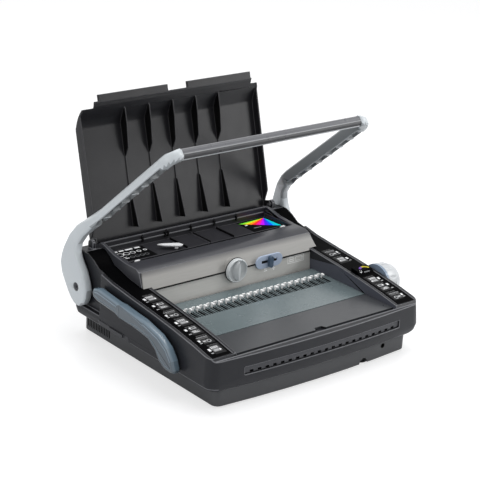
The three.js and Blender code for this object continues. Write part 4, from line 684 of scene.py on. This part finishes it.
def shade_in_an_arm(node):
    """Painted shade in an arm's cells and on its underside, and on its face towards the lid, more
    and more from the elbow up."""
    low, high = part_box(node)
    inward = 1 if low.x < middle_x - 0.1 else -1
    lift, cell_reach = 0.3 * mm, 30 * mm
    ways = [Vector(way) for way in (
        (1, 0, 0), (-1, 0, 0), (0, 0.65, 0.76), (0, -0.65, -0.76), (0, 0.76, -0.65),
        (0, -0.76, 0.65))]
    underside = Vector((0, -0.645, -0.764))

    def arm_shade(face, tree):
        out = face.calc_center_median() + face.normal * lift
        walls = [tree.ray_cast(out, way, cell_reach)[0] for way in ways]
        if sum(wall is not None for wall in walls) > 3:
            return cell_shade
        if face.normal.dot(underside) > 0.7:
            return underside_shade
        if face.normal.x * inward < 0.7:
            return 0.0
        above = (out.z - elbow_height * mm) / (elbow_fade * mm)
        return face_shade + face_shade_rise * max(0, min(1, above))
    return arm_shade


arm_paint = moulded(
    "arm_paint", (198, 204, 208), 0.34, wear_and_highlight=6, grain=0.12, mottle=2, coat=0.2)
# Painted shade in the arms' cells, on their undersides and on their inner faces.
for node in ("right_arm", "left_arm"):
    rule = shade_in_an_arm(node)
    dressed(node, arm_paint, "handle", 0, smooth=42, rule=rule)

# Handle grip
# A dark grooved tube between the ends of the arms, with a paler band along its underside and a
# painted highlight along its upper edge. A steel rod inside holds it and the arms together, and a
# steel shaft joins the arms at the casing, where each has a screw with a round cap.
grip_bottom, grip_height = 338.7, 17.2
grip_plastic = Finish("grip_plastic")
wander = grip_plastic.noise(400) * 0.03
up_the_grip = (grip_plastic.height() - grip_bottom) * (1 / grip_height) + wander
# The light stop near the top of the grip is a painted highlight along a ridge.
bands_and_highlight = grip_plastic.node("ShaderNodeValToRGB", {"stops": (
    (0.0, srgb(196, 199, 202)), (0.2, srgb(176, 179, 182)), (0.26, srgb(38, 38, 41)),
    (0.66, srgb(58, 59, 62)), (0.72, srgb(168, 170, 172)), (0.78, srgb(104, 105, 109)),
    (1.0, srgb(92, 93, 97)),
)}, up_the_grip)
grip_plastic.feed("Base Color", bands_and_highlight)
grip_plastic.feed("Roughness", grip_plastic.noise(60) * 0.1 + 0.24)
grip_plastic.plain(Specular_IOR_Level=0.4)


def node_tree(name, inputs):
    """An empty Geometry Nodes tree, with a way in and out and named inputs for its sizes."""
    tree = bpy.data.node_groups.new(name, "GeometryNodeTree")
    shape = "NodeSocketGeometry"
    tree.interface.new_socket("Geometry", in_out="INPUT", socket_type=shape)
    for label, kind in inputs:
        tree.interface.new_socket(label, in_out="INPUT", socket_type="NodeSocket" + kind)
    tree.interface.new_socket("Geometry", in_out="OUTPUT", socket_type=shape)
    return tree, tree.nodes.new("NodeGroupInput").outputs, tree.nodes.new("NodeGroupOutput")


def joined(tree, kind, settings=None, **sockets):
    """Adds a node and links or sets its sockets by name."""
    made = tree.nodes.new(kind)
    for key, value in (settings or {}).items():
        setattr(made, key, value)
    for key, value in sockets.items():
        socket = made.inputs[key.replace("_", " ")]
        if isinstance(value, bpy.types.NodeSocket):
            tree.links.new(value, socket)
        else:
            socket.default_value = value
    return made.outputs[0]


def closed_tree(tree, shape, material, leave):
    """Ends a tree in plain geometry of one material."""
    whole = joined(tree, "GeometryNodeRealizeInstances", Geometry=shape)
    whole = joined(tree, "GeometryNodeSetMaterial", Geometry=whole, Material=material)
    tree.links.new(whole, leave.inputs["Geometry"])


def grown(name, form, tree, values, finish, body, smooth):
    """Runs a Geometry Nodes tree on a form and turns what comes out into a finished piece."""
    seed = in_scene(name + "_seed", as_mesh(name, form))
    runner = seed.modifiers.new("grow", "NODES")
    runner.node_group = tree
    for item in tree.interface.items_tree:
        if item.in_out == "INPUT" and item.name in values:
            runner[item.identifier] = values[item.name]
    shaped = as_shown(seed)
    bpy.data.objects.remove(seed)
    result = bmesh.new()
    result.from_mesh(shaped)
    bpy.data.meshes.remove(shaped)
    return finished(name, result, finish, body, smooth)


tree, entry, leave = node_tree("fluted_bar", (
    ("Flutes", "Int"), ("Outer radius", "Float"), ("Inner radius", "Float"),
    ("Start", "Vector"), ("End", "Vector"), ("Material", "Material")))
section = joined(
    tree, "GeometryNodeCurveStar", Points=entry["Flutes"], Inner_Radius=entry["Inner radius"],
    Outer_Radius=entry["Outer radius"])
line = joined(
    tree, "GeometryNodeCurvePrimitiveLine", Start=entry["Start"], End=entry["End"])
skin = joined(
    tree, "GeometryNodeCurveToMesh", Curve=line, Profile_Curve=section, Fill_Caps=True)
closed_tree(tree, skin, entry["Material"], leave)
grip_half_length, grip_y, grip_z = 174.7, -49.5, 347.3
grip = grown("fine_handle_grip", bmesh.new(), tree, {
    "Flutes": 13, "Outer radius": 8.6 * mm, "Inner radius": 8.1 * mm,
    "Start": at(-grip_half_length, grip_y, grip_z), "End": at(grip_half_length, grip_y, grip_z),
    "Material": grip_plastic.material,
}, grip_plastic, "handle", 20)
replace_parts(grip, "handle_grip")
shaft_steel = drawn_steel("shaft_steel", (168, 170, 174), 0.34, (0.02, 1, 1))
dressed("grip_rod", shaft_steel, "handle", 0.4)
dressed("handle_shaft", shaft_steel, "handle", 0.4)
screw_plastic = moulded("screw_plastic", (60, 61, 66), 0.4, wear_and_highlight=20)
for side in ("right", "left"):
    dressed(f"{side}_pivot_screw", screw_plastic, "handle", 0.3)

# Punch works
# Steel cranks on the shafts work the machine. Two draw bars pull a bar of square pins, which
# slides through a guide plate and a die plate fixed in the casing, in front of the paper stop.
plate_steel = drawn_steel("plate_steel", (160, 163, 168), 0.38, (0.05, 1, 1))
bar_steel = drawn_steel("bar_steel", (150, 153, 158), 0.4, (1, 0.05, 1))
for node, body in (("right_crank", "handle"), ("left_crank", "handle"),
                   ("lever_crank", "comb_lever"), ("closer_crank", "closer")):
    dressed(node, zinc, body, 0.4)
for node in ("right_draw_bar", "left_draw_bar"):
    dressed(node, bar_steel, "punch", 0.4)
dressed("punch_pin_bar", plate_steel, "punch", 0.2, 1)
for node in ("punch_guide_plate", "punch_die_plate", "paper_stop"):
    dressed(node, plate_steel, "casing", 0.2, 1)

# Rims of the deck's slits
# Painted shade: dark narrow rims along both sides of every slit in the deck, for its dark opening.
# Slits are left, right, front and rear from their ring's place.
ring_pitch, ring_count = 14.2875, 21
first_ring = -ring_pitch * (ring_count - 1) / 2
slit_rim, slit_clear = 0.55, 0.03
slit_shade_dark = srgb(26, 31, 34)
slits_at_ring = (
    (-5.43, -4.13, -45.7, -24.7), (-0.63, 0.67, -45.7, -24.7), (3.28, 6.68, -45.2, -21.6),
    (-0.63, 0.67, -17.5, -10.8),
)
# Painted shade beside each slit.
rims = []
for number in range(ring_count):
    x = first_ring + ring_pitch * number
    for left, right, front, rear in slits_at_ring:
        for rim_start, rim_end in ((left - slit_rim, left - slit_clear),
                                   (right + slit_clear, right + slit_rim)):
            rims.append((0, block(x + rim_start, x + rim_end, front, rear), slit_shade_dark))
printed("deck_slits", "deck_plate", rims, card_ink, "casing")

# Comb opener
# White posts, moulded in one row with the bar below the deck, hold a plastic comb. Hooks on a
# sliding rake go into its rings and draw them open.
tree, entry, leave = node_tree("row_of_teeth", (
    ("Tooth", "Object"), ("Count", "Int"), ("First", "Vector"), ("Step", "Vector"),
    ("Material", "Material")))
places = joined(
    tree, "GeometryNodeMeshLine", {"mode": "OFFSET"}, Count=entry["Count"],
    Start_Location=entry["First"], Offset=entry["Step"])
tooth = joined(
    tree, "GeometryNodeObjectInfo", {"transform_space": "ORIGINAL"}, Object=entry["Tooth"])
tooth = tooth.node.outputs["Geometry"]
teeth = joined(tree, "GeometryNodeInstanceOnPoints", Points=places, Instance=tooth)
both = tree.nodes.new("GeometryNodeJoinGeometry")
tree.links.new(teeth, both.inputs[0])
tree.links.new(entry["Geometry"], both.inputs[0])
closed_tree(tree, both.outputs[0], entry["Material"], leave)
comb_white = moulded("comb_white", (254, 254, 254), 0.5, wear_and_highlight=1, grain=0.02, mottle=0.5)


def toothed(node, sections, first_x, body):
    """A bar under the deck, as the node has it, with a row of teeth above it. A tooth is a stack
    of sections, each a height above the deck, a half width and its front and rear places."""
    form = merged(node)
    bmesh.ops.bisect_plane(
        form, geom=[*form.verts, *form.edges, *form.faces], plane_co=(0, 0, deck_low.z),
        plane_no=(0, 0, 1), clear_outer=True)
    bmesh.ops.holes_fill(form, edges=[e for e in form.edges if e.is_boundary])
    rings = []
    for height, half, front, rear in sections:
        z = deck_high.z + height * mm
        spots = ((-half, front), (half, front), (half, rear), (-half, rear))
        rings.append([(x * mm, throat_y + y * mm, z) for x, y in spots])
    tooth = skinned(rings)
    eased(tooth, 0.2, 1)
    pattern = in_scene("tooth", as_mesh("tooth", tooth))
    first_place = Vector((middle_x + first_x * mm, 0, 0))
    piece = grown("fine_" + node, form, tree, {
        "Tooth": pattern, "Count": ring_count, "First": first_place,
        "Step": Vector((ring_pitch * mm, 0, 0)), "Material": comb_white.material,
    }, comb_white, body, 30)
    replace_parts(piece, node)
    bpy.data.objects.remove(pattern)


post_sections = (
    (-3.4, 1.6, -20.8, -19.2), (2.4, 1.6, -20.8, -19.2), (3.2, 3.2, -20.9, -19.1),
    (5.9, 3.2, -20.9, -19.1), (6.4, 2.6, -20.8, -19.2),
)
hook_sections = (
    (-3.4, 1.1, -24.6, -22.2), (3.4, 1.1, -24.6, -22.2), (4.6, 1.8, -28.4, -22.2),
    (7.0, 1.8, -28.6, -22.3), (7.5, 1.4, -28.0, -23.0),
)
post_to_hook = 5
toothed("comb_posts", post_sections, first_ring, "casing")
toothed("comb_rake", hook_sections, first_ring + post_to_hook, "rake")
dressed("rake_link", bar_steel, "rake", 0.4)

# Comb lever
# Two pieces moulded in glossy blue grey, a hub and a handle that meet in one line. Their faces
# roll over into the edge, with a shallow groove along it, and a steel shaft turns with them.
roll_radius, lever_joint_y = 4.5, 17
groove_inner, groove_middle, groove_outer, groove_depth = 7.6, 7.0, 6.4, 0.5
groove_shade, groove_band_light, top_light = 0.75, 0.3, 0.3


def lit_from_above(face, tree):
    """Painted light on the rolled top edge, which looks lighter than the flat side."""
    return -top_light * max(0.0, min(1.0, face.normal.z * 1.6 - 0.1))


def cushioned(node):
    """A flat bar whose two faces roll over into its edge, and stay square at the joint between
    the lever's pieces."""
    source = merged(node)
    low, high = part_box(node)
    bmesh.ops.dissolve_limit(source, angle_limit=0.004, verts=source.verts, edges=source.edges)
    side = max((f for f in source.faces if f.normal.x < -0.9), key=lambda f: f.calc_area())
    outline = [v.co.yz for v in side.verts]
    source.free()
    count = len(outline)
    pairs = [(outline[i - 1], outline[i]) for i in range(count)]
    if sum(p.x * q.y - q.x * p.y for p, q in pairs) < 0:
        outline.reverse()
    inward = []
    for i in range(count):
        ahead = (outline[(i + 1) % count] - outline[i]).normalized()
        run = ahead + (outline[i] - outline[i - 1]).normalized()
        run.normalize()
        from_joint = abs(outline[i].x - at(0, lever_joint_y, 0).y)
        near = min(1, from_joint / (roll_radius * mm))
        inward.append(Vector((-run.y, run.x)) * near)
    stations = [
        (low.x, groove_inner * mm), (low.x + groove_depth * mm, groove_middle * mm),
        (low.x, groove_outer * mm),
    ]
    turns = [math.radians(90 * k / 5) for k in range(6)]
    roll = roll_radius * mm
    for x, way, row in ((low.x, 1, turns), (high.x, -1, turns[::-1])):
        stations += [
            (x + way * roll * (1 - math.cos(t)), roll * (1 - math.sin(t))) for t in row]
    form = skinned([
        [(x, *(p + n * away)) for p, n in zip(outline, inward)] for x, away in stations])
    shaded(form, lit_from_above)
    form.faces.ensure_lookup_table()
    deep, lit = form.faces.layers.float["deep"], form.faces.layers.float["lit"]
    # Painted shade in the groove, and painted light on the flat band beside it.
    for i in range(count):
        if inward[i].y < -0.35 and inward[i - 1].y < -0.35:
            form.faces[i][deep] = form.faces[count + i][deep] = groove_shade
            form.faces[2 * count + i][lit] = groove_band_light
    piece = finished("fine_" + node, form, lever_plastic, "comb_lever", 50)
    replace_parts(piece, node)


lever_plastic = moulded(
    "lever_plastic", (70, 82, 91), 0.22, wear_and_highlight=40, grain=0.1, mottle=3, coat=0.7)
cushioned("comb_lever_hub")
cushioned("comb_lever_handle")
dressed("lever_shaft", shaft_steel, "comb_lever", 0.4)

# Wire closer
# A near-white ribbed knob beside a blue grey ring on the casing's right side. It turns a steel
# shaft, whose crank draws the closing bar over its bed to press a wire loop shut.
knob_plastic = moulded(
    "knob_plastic", (198, 201, 204), 0.3, wear_and_highlight=6, grain=0.1, mottle=2, coat=0.3)
ring_plastic = moulded(
    "ring_plastic", (134, 150, 170), 0.3, wear_and_highlight=10, grain=0.1, mottle=2, coat=0.3)
dressed("closer_knob", knob_plastic, "closer", 0.5, 3, 40)
dressed("closer_ring", ring_plastic, "casing", 0.4)
dressed("closer_shaft", shaft_steel, "closer", 0.4)
dressed("wire_closing_bar", plate_steel, "closing_bar", 0.4)
dressed("closer_link", bar_steel, "closing_bar", 0.4)
dressed("closer_bed", plate_steel, "casing", 0.4)

# Controls on the fascia
# The margin knob is a light grey moulded dial with a raised blade across its dish, pushed on a
# steel spindle. Beside it a blue slider runs in a pale blue bezel.
knob_x, knob_z, dish_radius = -1, 110, 17.8


def stacked(name, rings, finish, body, smooth=34, rule=None):
    """A closed piece over rings of places in millimetres."""
    form = skinned([[at(*place) for place in places] for places in rings])
    if rule:
        shaded(form, rule)
    return finished(name, form, finish, body, smooth)


def shade_in_the_dish(face, tree):
    # Painted shade in the knob's dish.
    spot = face.calc_center_median() - at(knob_x, 0, knob_z)
    return 0.22 if math.hypot(spot.x, spot.z) < dish_radius * mm else 0.0


def shade_left_of_the_blade(face, tree):
    # Painted shade on the blade's left side.
    return 0.16 if face.normal.x < -0.1 else 0.0


def knob_circle(radius, y, sides=64):
    angles = [k * math.tau / sides for k in range(sides)]
    return [(knob_x + radius * math.cos(a), y, knob_z + radius * math.sin(a)) for a in angles]


def blade_ring(half_width, half_height, y, sides=32):
    """A pointed oval like a leaf, upright on the dish."""
    places = []
    for k in range(sides):
        turn = k * math.tau / sides
        u, v = math.cos(turn), math.sin(turn)
        pointed = u * (1 - 0.35 * v * v)
        places.append((knob_x + half_width * pointed, y, knob_z + half_height * v))
    return places


dial_plastic = moulded(
    "dial_plastic", (208, 212, 214), 0.3, wear_and_highlight=14, grain=0.1, mottle=2, coat=0.3)
dish_profile = (
    (18.6, 19), (19.6, 18.4), (19.6, 13.2), (19.2, 12.2), (18.4, 11.8), (17.6, 12.2),
    (16.6, 14.2), (12, 15.4), (6, 15.8),
)
dish = stacked("fine_margin_knob", [knob_circle(radius, y) for radius, y in dish_profile],
               dial_plastic, "margin", 50, shade_in_the_dish)
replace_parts(dish, "margin_knob")
blade_profile = (
    (8.6, 17.0, 15.6), (6.6, 16.8, 13), (3.6, 16.4, 9.6), (2.4, 16.0, 8.5), (1.6, 15.4, 8))
stacked("fine_margin_blade", [blade_ring(*station) for station in blade_profile],
        dial_plastic, "margin", 40, shade_left_of_the_blade)
# A black ring behind the knob: painted shade for the dark line round its foot.
gap_shade_profile = ((20.3, 19.7), (20.3, 19.1), (10, 19.1))
stacked("knob_gap", [knob_circle(radius, y) for radius, y in gap_shade_profile],
        black_plastic, "casing")
dressed("margin_spindle", shaft_steel, "margin", 0.3)
pale_plastic = moulded(
    "pale_plastic", (170, 184, 206), 0.3, wear_and_highlight=10, grain=0.1, mottle=2, coat=0.3)
dressed("selector_bezel", pale_plastic, "casing", 0.5)
slider_plastic = moulded(
    "slider_plastic", (70, 88, 108), 0.3, wear_and_highlight=16, grain=0.1, mottle=3, coat=0.3)
dressed("selector_slider", slider_plastic, "selector", 0.4)

# Label strips and size gauge
# Black strips of thin plastic, set into the side panels, and a low moulded gauge on the right
# one for measuring the thickness of a document.
label_plastic = moulded(
    "label_plastic", (4, 4, 5), 0.4, wear_and_highlight=12, grain=0.0, mottle=0.5, gloss=0.01)
for side in ("right", "left"):
    dressed(f"{side}_label_strip", label_plastic, "casing", 0.2, 1)
dressed("size_gauge", label_plastic, "casing", 0.5)

# Pictures on the label strips
# Small white and grey pictures of sheets, arrows and rings, printed on dark tiles. There is one
# tile for each step of the work, seven on the left strip and five on the right.
tile_dark, tile_mid = srgb(44, 44, 45), srgb(104, 104, 105)
tile_pale, tile_white = srgb(170, 171, 173), srgb(236, 237, 239)


def arrow(x, y, size, way):
    tail = x - size * 0.5 * way
    return [(tail, y - size, 0), (x + size * way, y, 0), (tail, y + size, 0)]


def tile(x, y, way, kind):
    """One pictured step, about 28 mm across and 25 mm along the strip. Its marks are placed from
    its middle by u across the strip and v along it, and its kind is one of three pictures."""
    marks = []

    def spot(u, v):
        return x + u * way, y + v

    def put(layer, u0, u1, v0, v1, colour):
        (x0, y0), (x1, y1) = spot(u0, v0), spot(u1, v1)
        marks.append((layer, block(min(x0, x1), max(x0, x1), y0, y1), colour))
    for k in range(4):
        put(0, -7, 13, -12 + 6 * k, -6.2 + 6 * k, tile_dark)
    put(0, -12.5, -8, -9, -7, tile_pale)
    for k in range(9):
        put(1, -6 + 2 * k, -5.2 + 2 * k, 9.4, 11.4 - k % 3 * 0.6, tile_mid)
    picture = kind % 3
    if picture == 0:
        # Sheets under the punch, with an arrow
        put(1, -6, 9, -7, 7, tile_mid)
        put(2, -4, 5, -5.5, -1, tile_pale)
        for k in range(5):
            put(2, -5 + 2.6 * k, -3.9 + 2.6 * k, 1, 6, tile_white)
        put(1, -12, -8, -3, 3, tile_white)
        marks.append((2, arrow(*spot(7, -3.5), 2.4, way), tile_white))
    elif picture == 1:
        # A row of rings over a sheet, and a knob
        put(1, -9, 9, 1, 3, tile_mid)
        for k in range(6):
            loop = ring(*spot(-8.5 + 3.4 * k, 5.5), 1.5, 0.6, 8)
            marks.extend((2, outline, tile_pale) for outline in loop)
        put(1, -6, 1, -9, -2, tile_mid)
        put(2, -5, 0, -6, -4.6, tile_white)
        put(1, -12, -8.5, -5, 0, tile_white)
        marks.append((2, disc(*spot(5, -6), 3.8), tile_pale))
        marks.append((3, disc(*spot(5, -6), 2.2), tile_dark))
    else:
        # A bound stack with lines, and an arrow to the next sheet
        put(1, -5, 10, -8, -1, tile_mid)
        for k in range(3):
            put(2, -3, 8 - 2 * k, -7 + 2 * k, -6.2 + 2 * k, tile_white)
        put(2, -12, -8, 1, 6, tile_white)
        put(1, -2, 9, 2, 8, tile_pale)
        put(2, 0, 7, 4, 6, tile_dark)
        marks.append((2, arrow(*spot(-1, 5.5), 2.6, -way), tile_white))
    return marks


strip_x, tile_step = 184.5, 26.6
left_marks, right_marks = [], []
for k in range(7):
    left_marks += tile(-strip_x, -162 + tile_step * k, 1, k)
for y, kind in ((-158, 1), (-131, 2), (-107, 3), (-31, 0), (-4, 1)):
    right_marks += tile(strip_x, y, -1, kind)
printed("left_pictures", "left_label_strip", left_marks, card_ink, "casing")
printed("right_pictures", "right_label_strip", right_marks, card_ink, "casing")

# Scale on the size gauge
# A bent scale in two colours round one point, with a hole and a stop line for the sheets.
gauge_x, gauge_y, scale_outer, scale_inner = 188, -84, 12, 8
scale_start, scale_step, yellow_steps = 20, 16, 5
scale_yellow, scale_violet = srgb(190, 176, 60), srgb(120, 84, 170)
gauge_marks = [(0, disc(176, gauge_y, 2.2), card_white)]
gauge_marks.append((0, block(182, 194, -87, -85.4), card_grey))
for k in range(8):
    start = math.radians(scale_start + scale_step * k)
    end = math.radians(scale_start + scale_step * (k + 1))
    bend = [around(gauge_x, gauge_y, radius, angle) for radius, angle in (
        (scale_outer, start), (scale_outer, end), (scale_inner, end), (scale_inner, start))]
    gauge_marks.append((0, bend, scale_yellow if k < yellow_steps else scale_violet))
printed("gauge_print", "size_gauge", gauge_marks, card_ink, "casing")

# Chip drawer
# A dark grey moulded drawer under the punch. It slides out of the left side on the pan's floor,
# to be emptied of paper chips.
drawer_plastic = moulded("drawer_plastic", (60, 61, 64), 0.45)
dressed("chip_drawer", drawer_plastic, "drawer", 0.5)
